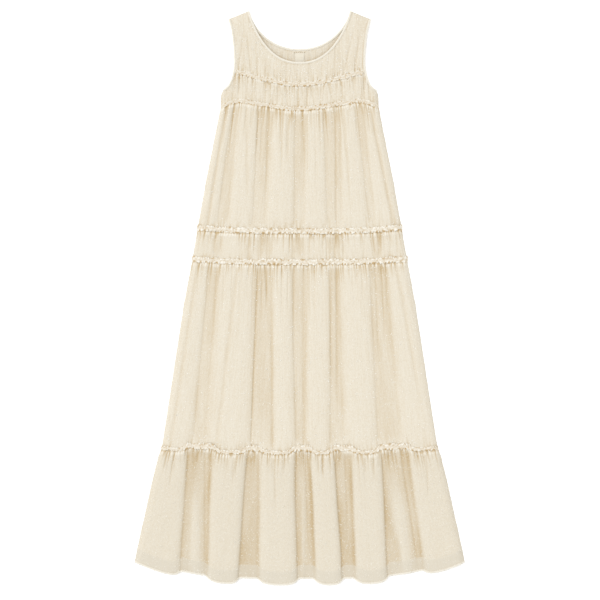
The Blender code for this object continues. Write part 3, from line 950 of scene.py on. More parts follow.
@dataclass(kw_only=True)
class Tier(Panel):
    """A gathered tier between two cross seams, or from one to the hem.

    sink is how far the front's cloth lies below the plain front between its folds, and swell how high it
    rises just below the top seam's frill.
    """

    top: Seam
    bottom: Seam | Hem
    folds: FoldSet
    sink: float = 0.0016
    swell: float = 0.0012
    hem_depth: float = 0.034

    @property
    def hemmed(self) -> bool:
        """Whether it ends in the hem."""
        return isinstance(self.bottom, Hem)

    def row_shares(self) -> Array:
        """How far down each row lies, from the bottom row up, closer together at seams and at the hem."""
        length = self.top.centre - self.bottom.centre
        at = np.linspace(0.0, 1.0, 600)
        down, up = at * length, (1.0 - at) * length
        crowd = 1.0 + 2.0 * bell(down - 0.008, 0.014)
        if self.hemmed:
            crowd = crowd + 5.0 * bell(up, 0.007) + 3.0 * bell(up - self.hem_depth, 0.004)
        else:
            crowd = crowd + 1.6 * bell(up - 0.008, 0.012)
        filled = np.cumsum(crowd)
        filled = (filled - filled[0]) / (filled[-1] - filled[0])
        return np.interp(np.linspace(0.0, 1.0, self.rows), filled, at)[::-1]

    def column_ends(self) -> tuple[Array, Array]:
        """x at the top and the bottom of each column, closer together over the folds' right walls."""
        half_top, half_bottom = self.top.half, self.bottom.half
        walls = [fold for fold in self.folds.folds if fold.right_top is not None]
        tops, bottoms, weights = [-half_top], [-half_bottom], []
        for fold in walls:
            tops += [fold.right_top - 0.012, fold.right_top + 0.003]
            bottoms += [fold.right_bottom - 0.012, fold.right_bottom + 0.003]
            weights += [1.0, 2.2]
        tops.append(half_top)
        bottoms.append(half_bottom)
        weights.append(1.0)
        middles = (np.array(tops) + np.array(bottoms)) / 2
        at = np.concatenate(([0.0], np.cumsum(np.diff(middles) * np.array(weights))))
        across = np.linspace(0.0, at[-1], self.columns)
        return np.interp(across, at, tops), np.interp(across, at, bottoms)

    def surface(self) -> Surface:
        """Where the tier's cloth lies."""
        down = self.row_shares()[:, None]
        top_x, bottom_x = self.column_ends()
        top_y, bottom_y = self.top.line(self.side, top_x), self.bottom.line(self.side, bottom_x)
        y = mix(top_y, bottom_y, down)
        half, usual_half = OUTLINE.half_width(y), mix(self.top.half, self.bottom.half, down)
        x = mix(top_x, bottom_x, down) * half / usual_half
        across = x * self.top.half / usual_half
        from_top, from_bottom = np.abs(top_y - y), np.abs(y - bottom_y)
        beyond = from_top - self.top.heading

        # How far the folds and the creases have opened between the seams that gather them
        opening = smooth_step(from_top / RAMP_LENGTH)
        closing = np.ones_like(y) if self.hemmed else smooth_step(from_bottom / RAMP_LENGTH)
        share = opening * closing
        gathered = 1.0 - np.exp(-from_top / GATHER_OPENS)
        if not self.hemmed:
            gathered = gathered * (1.0 - np.exp(-from_bottom / 0.005))
        pressed = sum(crease.press(x, down) for crease in self.creases) * gathered
        ridge, valley_shade = self.small_gathers(across, from_top, from_bottom)

        # Painted shade: between the folds and against their walls, in creases and valleys, and in short ticks
        # under the frill where it throws its shadow, mottled by random patches
        patches = soft_noise(across / 0.013, from_top / 0.085, self.gathers.seed + 4)
        shadow_ticks = np.clip(-1.7 * soft_noise(across / 0.0044, 0.5, self.gathers.seed + 9), 0.0, 1.0)
        off_side = smooth_step(OUTLINE.side_distance(x, y) / 0.024)
        shade_and_mottle = self.folds.shade_and_mottle(x, down, half) * share * off_side * (1.0 + 0.45 * patches)
        shade_and_mottle = shade_and_mottle + 0.03 * np.maximum(patches, 0.0)
        shade_and_mottle = shade_and_mottle + 0.21 * pressed / MM + 0.90 * valley_shade
        shade_and_mottle = shade_and_mottle + (0.35 + 2.0 * shadow_ticks) * bell(beyond - 0.0005, 0.0019)

        # How high it lies: the panel, its folds, and finer relief that mostly fades towards the side seams
        crinkle = self.crinkle.height(across * 1.15, from_top)
        inwards = smooth_step(OUTLINE.side_distance(x, y) / SIDE_FADE)
        folded = self.folds.height(x, down, half) * share
        if self.side is Side.FRONT:
            at_seam = self.top.lift(x) * (1.0 - opening)
            if not self.hemmed:
                at_seam = at_seam + self.bottom.lift(x) * (1.0 - closing)
            sunk = 1.0 - self.folds.raised(x, down, half)
            z = OUTLINE.front_height(x, y) + folded + at_seam * inwards
            z = z - self.sink * self.folds.full * sunk * share * inwards
            z = z + (crinkle - pressed + self.gathers.height * (ridge - 0.3)) * (0.15 + 0.85 * inwards)
            z = z + self.swell * bell(beyond - 0.006, 0.006) * inwards
            x = x + self.folds.lean(x, down, half) * share
        else:
            z = OUTLINE.back_height(x, y) + folded
            z = z + np.maximum(crinkle, 0.0) + (np.abs(pressed) + self.gathers.height * ridge) * inwards
        # Shade painted on the folds' steep walls
        slope = np.abs(np.gradient(z, axis=1) / np.gradient(x, axis=1))
        shade_and_mottle = shade_and_mottle + 0.16 * smooth_step((slope - 0.5) / 0.8) * inwards

        # Highlights painted on the small gathers' ridges just under the top frill
        tip_highlights = bell(beyond - 0.0036, 0.0042) * smooth_step((ridge - 0.35) / 0.4) * self.glint(across)
        made = Surface(x, y, z, across, -from_top, shade_and_mottle, np.zeros_like(y), 1.7 * tip_highlights)
        if self.hemmed:
            self.turn_hem(made, from_bottom)
        made.shade_and_mottle, made.pale = np.clip(made.shade_and_mottle, 0.0, 1.0), np.clip(made.pale, 0.0, 1.0)
        return made

    def small_gathers(self, across: Array, from_top: Array, from_bottom: Array) -> tuple[Array, Array]:
        """The small gathers under the top seam, and the weaker ones over the bottom seam.

        Args:
            across: Where along the top seam.
            from_top, from_bottom: Distance from each seam.

        Returns:
            How full their ridges and how deep their valleys are.
        """
        ridge, valley_shade = self.gathers.wave(across, from_top - self.top.heading)
        if self.hemmed:
            return ridge, valley_shade
        above = (from_bottom - self.bottom.heading) * 2.2
        over_ridge, over_valley_shade = self.gathers.wave(across + 0.31, above)
        return ridge + 0.5 * over_ridge, valley_shade + 0.5 * over_valley_shade

    def glint(self, across: Array) -> Array:
        """How strongly a highlight is painted on each small gather's ridge along a seam, from 0 to 1."""
        wander = 0.0035 * soft_noise(across / 0.011, 0.5, self.gathers.seed + 7)
        comb = 0.5 + 0.5 * np.cos(2.0 * math.pi * (across + wander) / (0.68 * self.gathers.spacing))
        uneven = np.clip(0.75 + 0.7 * soft_noise(across / 0.0050, 0.5, self.gathers.seed + 8), 0.0, 1.0)
        return comb * uneven

    def turn_hem(self, made: Surface, from_edge: Array) -> None:
        """Adds the turned-up hem: its doubled cloth, the line of its stitches and the bead at its edge.

        Args:
            made: The tier's surface, which is changed.
            from_edge: Distance of each point from the hem's edge.
        """
        front = self.side is Side.FRONT
        made.hem = smooth_step((self.hem_depth - from_edge) / 0.0015)
        bead = bell(from_edge - 0.0012, 0.0022)
        step = 0.00035 * made.hem + 0.0009 * bead
        made.z = made.z + (step if front else step * 0.5)
        sewn = 0.0004 * bell(from_edge - (self.hem_depth - 0.0005), 0.0014)
        made.z = made.z - (sewn if front else -sewn)
        # A highlight is painted on the bead, with less painted shade there, and a darker line runs just above
        # it
        made.pale = np.maximum(made.pale, bead)
        made.shade_and_mottle = made.shade_and_mottle * (1.0 - 0.6 * bead) + 0.34 * bell(from_edge - 0.0052, 0.0012)


@dataclass
class Patch:
    """A panel that fills four smooth edges, each given from left to right or from the bottom up."""

    bottom: Array
    top: Array
    left: Array
    right: Array

    def places(self) -> tuple[Array, Array]:
        """x and y of the points, on rows from the bottom up by columns from left to right."""
        u = np.linspace(0.0, 1.0, len(self.bottom))[None, :, None]
        v = np.linspace(0.0, 1.0, len(self.left))[:, None, None]
        across = mix(self.bottom[None], self.top[None], v)
        upwards = mix(self.left[:, None], self.right[:, None], u)
        low = mix(self.bottom[0], self.bottom[-1], u)
        high = mix(self.top[0], self.top[-1], u)
        made = across + upwards - mix(low, high, v)
        return made[:, :, 0], made[:, :, 1]


@dataclass(kw_only=True)
class Yoke(Panel):
    """A yoke from the shoulder seams to the yoke seam."""

    kind: str = "yoke"
    length: float = 0.160
    under_binding: float = 0.0030
    crinkle: Crinkle = Crinkle(0.00026, 41)

    def surface(self) -> Surface:
        """Where the yoke's cloth lies."""
        strap = self.columns // 7
        neck = moved_right(OUTLINE.neck(self.side, self.columns - 2 * strap), self.under_binding)
        armhole = OUTLINE.armhole(240, self.under_binding)
        armhole = armhole[armhole[:, 1] >= YOKE_SEAM.up[-1]]
        shoulder = np.linspace(armhole[0], neck[-1], strap + 1)[:-1]
        left_shoulder = mirrored(shoulder)
        top = np.concatenate([left_shoulder, neck, shoulder[::-1]])
        narrow = armhole[-1][0] / top[:, 0].max()
        bottom_x = top[:, 0] * narrow
        bottom = np.stack([bottom_x, YOKE_SEAM.plain_line(bottom_x)], axis=1)
        right = even_path(armhole[::-8], self.rows)
        right = np.concatenate([right[:-1], top[-1:]])
        right[0] = bottom[-1]
        x, y = Patch(bottom, top, mirrored(right), right).places()

        above = y - YOKE_SEAM.plain_line(x)
        up = above / self.length
        pressed = sum(crease.press(x, np.clip(up, 0.0, 1.3)) for crease in self.creases)
        gathered = 1.0 - np.exp(-np.maximum(up, 0.0) * self.length / GATHER_OPENS)
        crinkle = self.crinkle.height(x, y)
        z = OUTLINE.height(self.side, x, y)
        if self.side is Side.FRONT:
            z = z + crinkle - pressed * gathered
        else:
            z = z + np.maximum(crinkle, 0.0) + np.abs(pressed) * gathered * 0.5
        ridge, valley_shade = self.gathers.wave(x, above - YOKE_SEAM.heading)
        z = z + self.gathers.height * ridge

        # Shade is painted in creases, crinkle hollows and valleys and beside the front's armhole binding, on
        # the back as the shadow of the front's neck edge, and a dotted darker line runs just inside the neck
        # binding
        shade_and_mottle = 0.04 + 0.20 * pressed * gathered / MM - 300.0 * crinkle + 0.60 * valley_shade
        sewn = bell(away_from(OUTLINE.neck(self.side, 120), x, y) - 0.0072, 0.0014)
        dotted = np.clip(0.5 + 1.6 * soft_noise(x / 0.0030, y / 0.0030, 47), 0.0, 1.0)
        shade_and_mottle = shade_and_mottle + 0.34 * sewn * dotted
        if self.side is Side.BACK:
            away = away_from(OUTLINE.neck(Side.FRONT, 120), x, y)
            shade_and_mottle = shade_and_mottle + 0.42 * bell(away, 0.0032) + 0.08 * bell(away, 0.014)
        else:
            shade_and_mottle = shade_and_mottle + 0.45 * bell(away_from(OUTLINE.armhole(120), x, y) - 0.0058, 0.0012)
        # Highlights painted on the gathers' ridges just over the yoke seam's frill
        pale = 0.6 * bell(above - YOKE_SEAM.heading, 0.003) * smooth_step((ridge - 0.25) / 0.4)
        return Surface(x, y, z, x, y, np.clip(shade_and_mottle, 0.0, 1.0), np.zeros_like(y), pale)


@dataclass(kw_only=True)
class ChestBand(Panel):
    """The shallow gathered band from the yoke seam to the chest seam, with the armholes' lower corners."""

    kind: str = "chest_band"
    under_binding: float = 0.0025
    crinkle: Crinkle = Crinkle(0.00030, 61)

    def surface(self) -> Surface:
        """Where the band's cloth lies."""
        armhole = OUTLINE.armhole(240, self.under_binding)
        lower = armhole[armhole[:, 1] <= YOKE_SEAM.up[-1]][::-6]
        side = np.array([OUTLINE.side[-2], (OUTLINE.side[-1][0], lower[0][1] - 0.002)])
        right = even_path(np.concatenate([side, lower]), self.rows)
        share = np.linspace(-1.0, 1.0, self.columns)
        bottom_x, top_x = share * right[0, 0], share * right[-1, 0]
        bottom = np.stack([bottom_x, CHEST_SEAM.plain_line(bottom_x)], axis=1)
        top = np.stack([top_x, YOKE_SEAM.plain_line(top_x)], axis=1)
        right[0], right[-1] = bottom[-1], top[-1]
        x, y = Patch(bottom, top, mirrored(right), right).places()
        top_y, bottom_y = YOKE_SEAM.plain_line(x), CHEST_SEAM.plain_line(x)
        down = np.clip((top_y - y) / (top_y - bottom_y), 0.0, 1.0)
        pressed = sum(crease.press(x, down) for crease in self.creases)
        ends = np.minimum(np.abs(top_y - y), np.abs(y - bottom_y))
        gathered = 1.0 - np.exp(-ends / GATHER_OPENS)
        crinkle = self.crinkle.height(x, y)
        inwards = smooth_step(OUTLINE.side_distance(x, y) / SIDE_FADE)
        z = OUTLINE.height(self.side, x, y)
        if self.side is Side.FRONT:
            at_seam = CHEST_SEAM.lift(x) * (1.0 - smooth_step((y - bottom_y) / RAMP_LENGTH))
            z = z + (crinkle - pressed * gathered + at_seam) * inwards
        else:
            z = z + (np.maximum(crinkle, 0.0) + np.abs(pressed) * gathered * 0.6) * inwards
        below = top_y - y - YOKE_SEAM.heading
        ridge, valley_shade = self.gathers.wave(x, below)
        over_ridge, over_valley_shade = self.gathers.wave(x + 0.29, y - bottom_y - CHEST_SEAM.heading)
        ridge, valley_shade = ridge + 0.6 * over_ridge, valley_shade + 0.6 * over_valley_shade
        z = z + self.gathers.height * ridge * inwards
        # Shade painted in creases, crinkle hollows and valleys, and highlights on the gathers' ridges under
        # the yoke seam's frill
        shade_and_mottle = 0.04 + 0.17 * pressed * gathered / MM - 170.0 * crinkle + 0.60 * valley_shade
        pale = 0.7 * bell(below - 0.001, 0.003) * smooth_step((ridge - 0.25) / 0.4)
        return Surface(x, y, z, x, y, np.clip(shade_and_mottle, 0.0, 1.0), np.zeros_like(y), pale)


@dataclass
class Frill:
    """A narrow heading gathered along its middle, so that both its edges ruffle.

    ruffle is the length of a ruffle and wave its height, crown is how high the frill bulges, groove is the
    share of it that the gathering line sinks, beyond is how far it runs past the side seams, and bright is
    how strongly highlights are painted on its ruffles. half replaces the seam's half length where it is
    given.
    """

    seam: Seam
    side: Side
    half_width: float
    ruffle: float
    wave: float
    crown: float
    groove: float
    seed: int
    columns: int
    flat: tuple
    beyond: float = 0.0
    half: float | None = None
    bright: float = 1.0
    rows: int = 13

    @property
    def name(self) -> str:
        """The piece's name."""
        return f"{self.side.value}_{self.seam.name}_frill"

    def ruffles(self, x: Array, across: Array, seed: int) -> Array:
        """Uneven waves along the frill, different at its upper and its lower edge, from -1.5 to 1.5."""
        wander = soft_noise(x / 0.013, 0.5, seed) * self.ruffle * 0.5
        edge = np.where(across > 0.0, 7.5, 1.5) + 0.35 * across
        large = soft_noise((x + wander) / (self.ruffle * 0.36), edge, seed + 1)
        small = soft_noise(x / (self.ruffle * 0.20), edge * 1.7, seed + 2)
        return 1.1 * large + 0.4 * small

    def surface(self) -> Surface:
        """Where the frill's cloth lies."""
        front = self.side is Side.FRONT
        half = (self.half or self.seam.half) + self.beyond
        x, across = np.meshgrid(np.linspace(-half, half, self.columns), np.linspace(-1.0, 1.0, self.rows))
        free = np.abs(across) ** 1.3
        up = self.ruffles(x, across, self.seed)
        aside = self.ruffles(x, across, self.seed + 10)
        # On a drawn-up seam it is fuller where the cloth below is sunk
        full = 0.85 + 0.5 * self.seam.sunk(x) if self.seam.draw_up else 1.0
        wide = self.half_width * full * (0.84 + 0.24 * free * up)
        waver = soft_noise(x / 0.020, 0.5, self.seed + 3) * 0.0012
        line = self.seam.line(self.side, x)
        y = line + waver + across * wide
        inside = OUTLINE.side_distance(np.clip(x, self.beyond - half, half - self.beyond), line)
        inwards = smooth_step(inside / 0.012)
        crumple = soft_noise(x / 0.0026, across * 2.4, self.seed + 4)
        pucker = soft_noise(x / 0.0030, np.sign(across) * 3.0 + 0.3 * across, self.seed + 5)
        body = self.crown * np.sqrt(1.0 - (across * 0.97) ** 2) * (1.0 - self.groove * bell(across, 0.26))
        rise = body + self.wave * free * up * full + 0.00060 * crumple + 0.00050 * pucker * free
        if front:
            base = OUTLINE.front_height(np.clip(x, -self.seam.half, self.seam.half), line)
            z = base + self.seam.lift(x) * inwards + 0.0010 + rise * (0.35 + 0.65 * inwards)
        else:
            z = np.clip(0.0013 + 0.5 * (rise - self.crown), WALL / 2, 0.0026)
        # Shade is painted in its puckers, most of all at the lower edge, in its crumples and along its
        # gathering line, and highlights on its ruffles
        edge = smooth_step((np.abs(across) - 0.30) / 0.5)
        lower = np.where(across < 0.0, 1.0, 0.35)
        shade_and_mottle = 3.6 * np.clip(-pucker - 0.10, 0.0, 1.0) * edge * lower
        shade_and_mottle = shade_and_mottle + 0.8 * np.clip(-crumple - 0.15, 0.0, 1.0)
        shade_and_mottle = shade_and_mottle + self.groove * 0.9 * bell(across, 0.2) * np.clip(0.2 + 1.8 * crumple, 0.0, 1.0)
        pale = np.clip(1.8 * pucker - 0.15, 0.0, 1.0) * edge + 1.4 * np.clip(crumple - 0.12, 0.0, 1.0)
        pale = self.bright * pale * (1.0 - np.clip(shade_and_mottle, 0.0, 1.0))
        x = x + 0.8 * self.wave * aside * free * inwards
        shade_and_mottle, pale = np.clip(shade_and_mottle, 0.0, 1.0), np.clip(pale, 0.0, 1.0)
        return Surface(x, y, z, x * 1.4, across * self.half_width, shade_and_mottle, np.zeros_like(y), pale)


@dataclass
class Binding:
    """A folded tape round an edge, as a flattened tube, with a row of stitches in its groove.

    stitch is the length, width and height of one, and stitch_step the distance between two.
    """

    name: str
    side: Side
    edge: Array
    width: float
    mirror: bool = False
    thick: float = 0.0022
    around: int = 14
    stitch: tuple = (0.0019, 0.0006, 0.0004)
    stitch_step: float = 0.0032

    def middle_height(self, x: Array, y: Array) -> Array:
        """Height of the tape's middle, which stands proud on the front, and least so at the shoulder."""
        height = OUTLINE.height(self.side, x, y)
        if self.side is Side.FRONT:
            return height + 0.0005 + 0.0011 * (1.0 - smooth_step(OUTLINE.shoulder_distance(x, y) / 0.03))
        return np.maximum(height, self.thick / 2)

    def build(self) -> bpy.types.Object:
        """The tube along the edge, closed at both ends."""
        count = len(self.edge)
        centre = moved_right(self.edge, self.width / 2)
        run = np.gradient(centre, axis=0)
        run /= np.linalg.norm(run, axis=1, keepdims=True)
        outwards = np.stack([-run[:, 1], run[:, 0]], axis=1)
        height = self.middle_height(*centre.T)
        along = path_lengths(centre)
        pucker = soft_noise(along / 0.007, 0.5, 71) * 0.00016
        mesh = bpy.data.meshes.new(self.name)
        work = bmesh.new()
        bmesh.ops.create_grid(work, x_segments=count - 1, y_segments=self.around, size=0.5)
        pattern = work.loops.layers.uv.new("cloth")
        for vertex in work.verts:
            column = round((vertex.co.x + 0.5) * (count - 1))
            step = round((vertex.co.y + 0.5) * self.around)
            vertex.co = Vector((column, step, 0.0))
        for face in work.faces:
            face.smooth = True
            for corner in face.loops:
                column, step, _ = corner.vert.co
                corner[pattern].uv = (along[int(column)], step / self.around * self.width * 2.2)
        sign = -1.0 if self.mirror else 1.0
        for vertex in work.verts:
            column, angle = int(vertex.co.x), 2.0 * math.pi * vertex.co.y / self.around
            reach = math.copysign(abs(math.cos(angle)) ** 0.75, math.cos(angle)) * self.width / 2
            groove = 0.00035 * bell(reach + self.width * 0.24, 0.0006) if math.sin(angle) > 0 else 0.0
            rise = math.copysign(abs(math.sin(angle)) ** 0.85, math.sin(angle)) * self.thick / 2
            x, y = centre[column] + outwards[column] * (reach + pucker[column])
            vertex.co = Vector((x * sign, y, height[column] + rise - groove + pucker[column] * 0.6))
        bmesh.ops.remove_doubles(work, verts=work.verts, dist=1e-6)
        bmesh.ops.holes_fill(work, edges=[edge for edge in work.edges if edge.is_boundary], sides=0)
        bmesh.ops.recalc_face_normals(work, faces=work.faces)
        work.to_mesh(mesh)
        work.free()
        return link(f"{self.name}_tape", mesh)

    def stitches(self) -> bpy.types.Object:
        """The row of small stitches in the tape's groove."""
        line = moved_right(self.edge, self.width * 0.74)
        along = path_lengths(line)
        at = np.arange(self.stitch_step, along[-1] - self.stitch_step / 2, self.stitch_step)
        x, y = (np.interp(at, along, line[:, axis]) for axis in (0, 1))
        run = np.stack([np.gradient(x), np.gradient(y)], axis=1)
        sign = -1.0 if self.mirror else 1.0
        centres = np.stack([x * sign, y, self.middle_height(x, y) + self.thick * 0.40], axis=1)
        runs = np.stack([run[:, 0] * sign, run[:, 1], np.zeros(len(x))], axis=1)
        return stitch_object(f"{self.name}_stitches", centres, runs, self.stitch)


def tuft_object(
    name: str, centres: Array, runs: Array, ups: Array, sizes: Array, bends: Array
) -> bpy.types.Object:
    """Many small closed threads in one piece.

    Args:
        name: The piece's name.
        centres: Where each thread lies.
        runs, ups: The direction it runs in, and the one away from the cloth.
        sizes: Its length, width and height.
        bends: How far its ends bend sideways, as a share of its length.

    Returns:
        The piece.
    """
    work = bmesh.new()
    for centre, run, up, size, bend in zip(centres, runs, ups, sizes, bends):
        made = bmesh.ops.create_icosphere(work, subdivisions=1, radius=1.0)["verts"]
        forwards = Vector(run).normalized()
        upwards = (Vector(up) - forwards * Vector(up).dot(forwards)).normalized()
        aside = upwards.cross(forwards)
        for vertex in made:
            along, across, above = vertex.co
            place = forwards * (along * size[0] / 2)
            place += aside * (across * size[1] / 2 + along * along * bend * size[0])
            place += upwards * (above * size[2] / 2)
            vertex.co = Vector(centre) + place
    for face in work.faces:
        face.smooth = True
    mesh = bpy.data.meshes.new(name)
    work.to_mesh(mesh)
    work.free()
    return link(name, mesh)


def stitch_object(name: str, centres: Array, runs: Array, size: tuple) -> bpy.types.Object:
    """Straight stitches of one size that lie flat.

    Args:
        name: The piece's name.
        centres: Where each stitch lies.
        runs: The direction each runs in.
        size: Their length, width and height.

    Returns:
        The piece.
    """
    count = len(centres)
    ups = np.tile((0.0, 0.0, 1.0), (count, 1))
    return tuft_object(name, centres, runs, ups, np.tile(size, (count, 1)), np.zeros(count))


@dataclass
class Slubs:
    """Loose ends and thick places of the yarn, scattered over a panel's outer side.

    Under the back they are pressed flat. crowd_low is the share of them that is drawn towards the panel's
    lower edge.
    """

    panel: Panel
    surface: Surface
    seed: int
    crowd_low: float = 0.0

    def build(self) -> bpy.types.Object:
        """The tufts, half sunk in the cloth."""
        draw, count = np.random.default_rng(self.seed), self.panel.slubs
        under = self.panel.side is Side.BACK
        rows, columns = self.surface.x.shape
        column = draw.uniform(2, columns - 3, count)
        row = draw.uniform(1, rows - 2, count)
        low = draw.uniform(0.0, 1.0, count) < self.crowd_low
        row = np.where(low, row * draw.uniform(0.0, 1.0, count), row)
        whole_row, whole_column = row.astype(int), column.astype(int)
        points, normals = self.surface.points(), self.surface.normals()
        part_row, part_column = (row - whole_row)[:, None], (column - whole_column)[:, None]
        near = mix(points[whole_row, whole_column], points[whole_row, whole_column + 1], part_column)
        far = mix(points[whole_row + 1, whole_column], points[whole_row + 1, whole_column + 1], part_column)
        ups = normals[whole_row, whole_column] * (-1.0 if under else 1.0)
        stand, thick = (-0.0002, 0.32) if under else (0.0001, 0.9)
        centres = mix(near, far, part_row) + ups * (WALL / 2 + stand)
        angle = draw.uniform(0.0, 2.0 * math.pi, count)
        runs = np.stack([np.cos(angle), np.sin(angle), np.zeros(count)], axis=1)
        long = draw.uniform(0.0034, 0.0078, count) * draw.uniform(0.7, 1.1, count)
        wide = draw.uniform(0.0012, 0.0019, count)
        sizes = np.stack([long, wide, wide * thick], axis=1)
        bends = draw.uniform(-0.45, 0.45, count)
        return tuft_object(f"{self.panel.name}_slubs", centres, runs, ups, sizes, bends)


class Nodes:
    """Short ways to add shader nodes to one node tree."""

    def __init__(self, tree: bpy.types.NodeTree) -> None:
        """Keeps the tree."""
        self.tree = tree

    def add(self, kind: str, inputs: dict | None = None, **settings: object) -> bpy.types.Node:
        """Adds a node.

        Args:
            kind: The node's type.
            inputs: Values or sockets for its inputs, by name or number.
            settings: Values for the node itself.

        Returns:
            The node.
        """
        node = self.tree.nodes.new(kind)
        for key, value in settings.items():
            setattr(node, key, value)
        for key, value in (inputs or {}).items():
            self.feed(node, key, value)
        return node

    def feed(self, node: bpy.types.Node, key: str | int, value: object) -> None:
        """Links a socket to a node's input, or sets the input to a value."""
        if isinstance(value, bpy.types.NodeSocket):
            self.tree.links.new(value, node.inputs[key])
        else:
            node.inputs[key].default_value = value

    def math(self, operation: str, *values: object) -> bpy.types.NodeSocket:
        """The result of a sum of one to three values or sockets."""
        node = self.add("ShaderNodeMath", dict(enumerate(values)), operation=operation)
        return node.outputs[0]

    def clamp(self, value: object) -> bpy.types.NodeSocket:
        """A value kept from 0 to 1."""
        return self.add("ShaderNodeClamp", {0: value}).outputs[0]

    def blend(self, share: object, first: object, second: object) -> bpy.types.NodeSocket:
        """Two colours mixed by a share."""
        return self.add("ShaderNodeMix", {0: share, 6: first, 7: second}, data_type="RGBA").outputs[2]

    def between(self, value: object, low: float, high: float) -> bpy.types.NodeSocket:
        """0 below low, 1 above high, and smooth between."""
        node = self.add("ShaderNodeMapRange", {0: value, 1: low, 2: high}, interpolation_type="SMOOTHSTEP")
        return node.outputs[0]

    def noise(self, place: object, scale: tuple, detail: float, warp: float = 0.0) -> bpy.types.NodeSocket:
        """Noise on a stretched place."""
        stretched = self.add("ShaderNodeVectorMath", {0: place, 1: scale}, operation="MULTIPLY")
        values = {"Vector": stretched.outputs[0], "Scale": 1.0, "Detail": detail, "Distortion": warp}
        return self.add("ShaderNodeTexNoise", values).outputs["Fac"]

    def cover(self, looks: dict, height: bpy.types.NodeSocket) -> None:
        """Ends a material in its shader.

        Args:
            looks: Values or sockets for the shader's inputs by name.
            height: Relief of the surface, in metres.
        """
        bump = self.add("ShaderNodeBump", {"Strength": 1.0, "Distance": 1.0, "Height": height})
        shader = self.add("ShaderNodeBsdfPrincipled", {**looks, "Normal": bump.outputs[0]})
        self.add("ShaderNodeOutputMaterial", {"Surface": shader.outputs[0]})


def new_group(name: str, inputs: dict, outputs: dict) -> tuple[Nodes, bpy.types.Node, bpy.types.Node]:
    """An empty shader node group.

    Args:
        name: The group's name.
        inputs, outputs: Its sockets' types by name.

    Returns:
        Its nodes, and its input and output nodes.
    """
    tree = bpy.data.node_groups.new(name, "ShaderNodeTree")
    for sockets, way in ((inputs, "INPUT"), (outputs, "OUTPUT")):
        for key, kind in sockets.items():
            tree.interface.new_socket(name=key, in_out=way, socket_type=kind)
    nodes = Nodes(tree)
    return nodes, nodes.add("NodeGroupInput"), nodes.add("NodeGroupOutput")


def new_material(name: str) -> tuple[bpy.types.Material, Nodes]:
    """A material without nodes yet, and the way to add them."""
    made = bpy.data.materials.new(name)
    made.use_nodes = True
    made.node_tree.nodes.clear()
    return made, Nodes(made.node_tree)


def crinkle_group() -> bpy.types.NodeTree:
    """Fine streaks along the cloth and the grain of its crepe yarn: their height, and how dark they look."""
    nodes, start, end = new_group(
        "crinkle_streaks",
        {"Vector": "NodeSocketVector", "Streaks": "NodeSocketFloat", "Grain": "NodeSocketFloat"},
        {"Height": "NodeSocketFloat", "Tone": "NodeSocketFloat"},
    )
    place = start.outputs["Vector"]
    fine = nodes.noise(place, (460.0, 20.0, 1.0), 2.0, 0.3)
    broad = nodes.noise(place, (150.0, 8.0, 1.0), 1.0, 0.5)
    grain = nodes.noise(place, (430.0, 330.0, 1.0), 2.0, 1.5)
    streaks = nodes.math("ADD", nodes.math("MULTIPLY", fine, 0.72), nodes.math("MULTIPLY", broad, 0.28))
    amount = start.outputs["Streaks"]
    height = nodes.math("ADD", nodes.math("MULTIPLY", streaks, amount), nodes.math("MULTIPLY", grain, 0.45))
    streak_tone = nodes.math("SUBTRACT", nodes.between(streaks, 0.36, 0.64), 0.5)
    streak_tone = nodes.math("MULTIPLY", streak_tone, amount)
    grain_tone = nodes.math("SUBTRACT", nodes.between(grain, 0.32, 0.68), 0.5)
    tone = nodes.math("ADD", streak_tone, nodes.math("MULTIPLY", grain_tone, start.outputs["Grain"]))
    tone = nodes.math("ADD", tone, 1.3)
    nodes.feed(end, "Height", height)
    nodes.feed(end, "Tone", nodes.math("MULTIPLY", tone, 0.45))
    return nodes.tree


def weave_group() -> bpy.types.NodeTree:
    """A plain weave of single threads, as a height."""
    nodes, start, end = new_group(
        "plain_weave",
        {"Vector": "NodeSocketVector", "Thread": "NodeSocketFloat"},
        {"Height": "NodeSocketFloat"},
    )
    parts = nodes.add("ShaderNodeSeparateXYZ", {0: start.outputs["Vector"]})
    turn = nodes.math("DIVIDE", math.pi, start.outputs["Thread"])
    across = nodes.math("MULTIPLY", parts.outputs[0], turn)
    along = nodes.math("MULTIPLY", parts.outputs[1], turn)
    over = nodes.math("MULTIPLY", nodes.math("SINE", across), nodes.math("SINE", along))
    warp = nodes.math("ABSOLUTE", nodes.math("COSINE", across))
    weft = nodes.math("ABSOLUTE", nodes.math("COSINE", along))
    ribs = nodes.math("MULTIPLY", nodes.math("ADD", warp, weft), 0.25)
    nodes.feed(end, "Height", nodes.math("ADD", nodes.math("MULTIPLY", over, 0.5), ribs))
    return nodes.tree


def thread_group() -> bpy.types.NodeTree:
    """Short curved threads lying on the cloth, as a mask. More of them show as the amount rises."""
    nodes, start, end = new_group(
        "short_threads",
        {"Vector": "NodeSocketVector", "Amount": "NodeSocketFloat"},
        {"Mask": "NodeSocketFloat"},
    )
    place = start.outputs["Vector"]
    curls = nodes.noise(place, (170.0, 130.0, 1.0), 0.0, 1.6)
    away = nodes.math("ABSOLUTE", nodes.math("SUBTRACT", curls, 0.5))
    line = nodes.math("SUBTRACT", 1.0, nodes.between(away, 0.015, 0.070))
    keep = nodes.noise(place, (310.0, 260.0, 1.0), 0.0)
    edge = nodes.math("SUBTRACT", 0.66, nodes.math("MULTIPLY", start.outputs["Amount"], 0.16))
    shown = nodes.math("MULTIPLY", nodes.math("SUBTRACT", keep, edge), 14.0)
    nodes.feed(end, "Mask", nodes.math("MULTIPLY", line, nodes.clamp(shown)))
    return nodes.tree


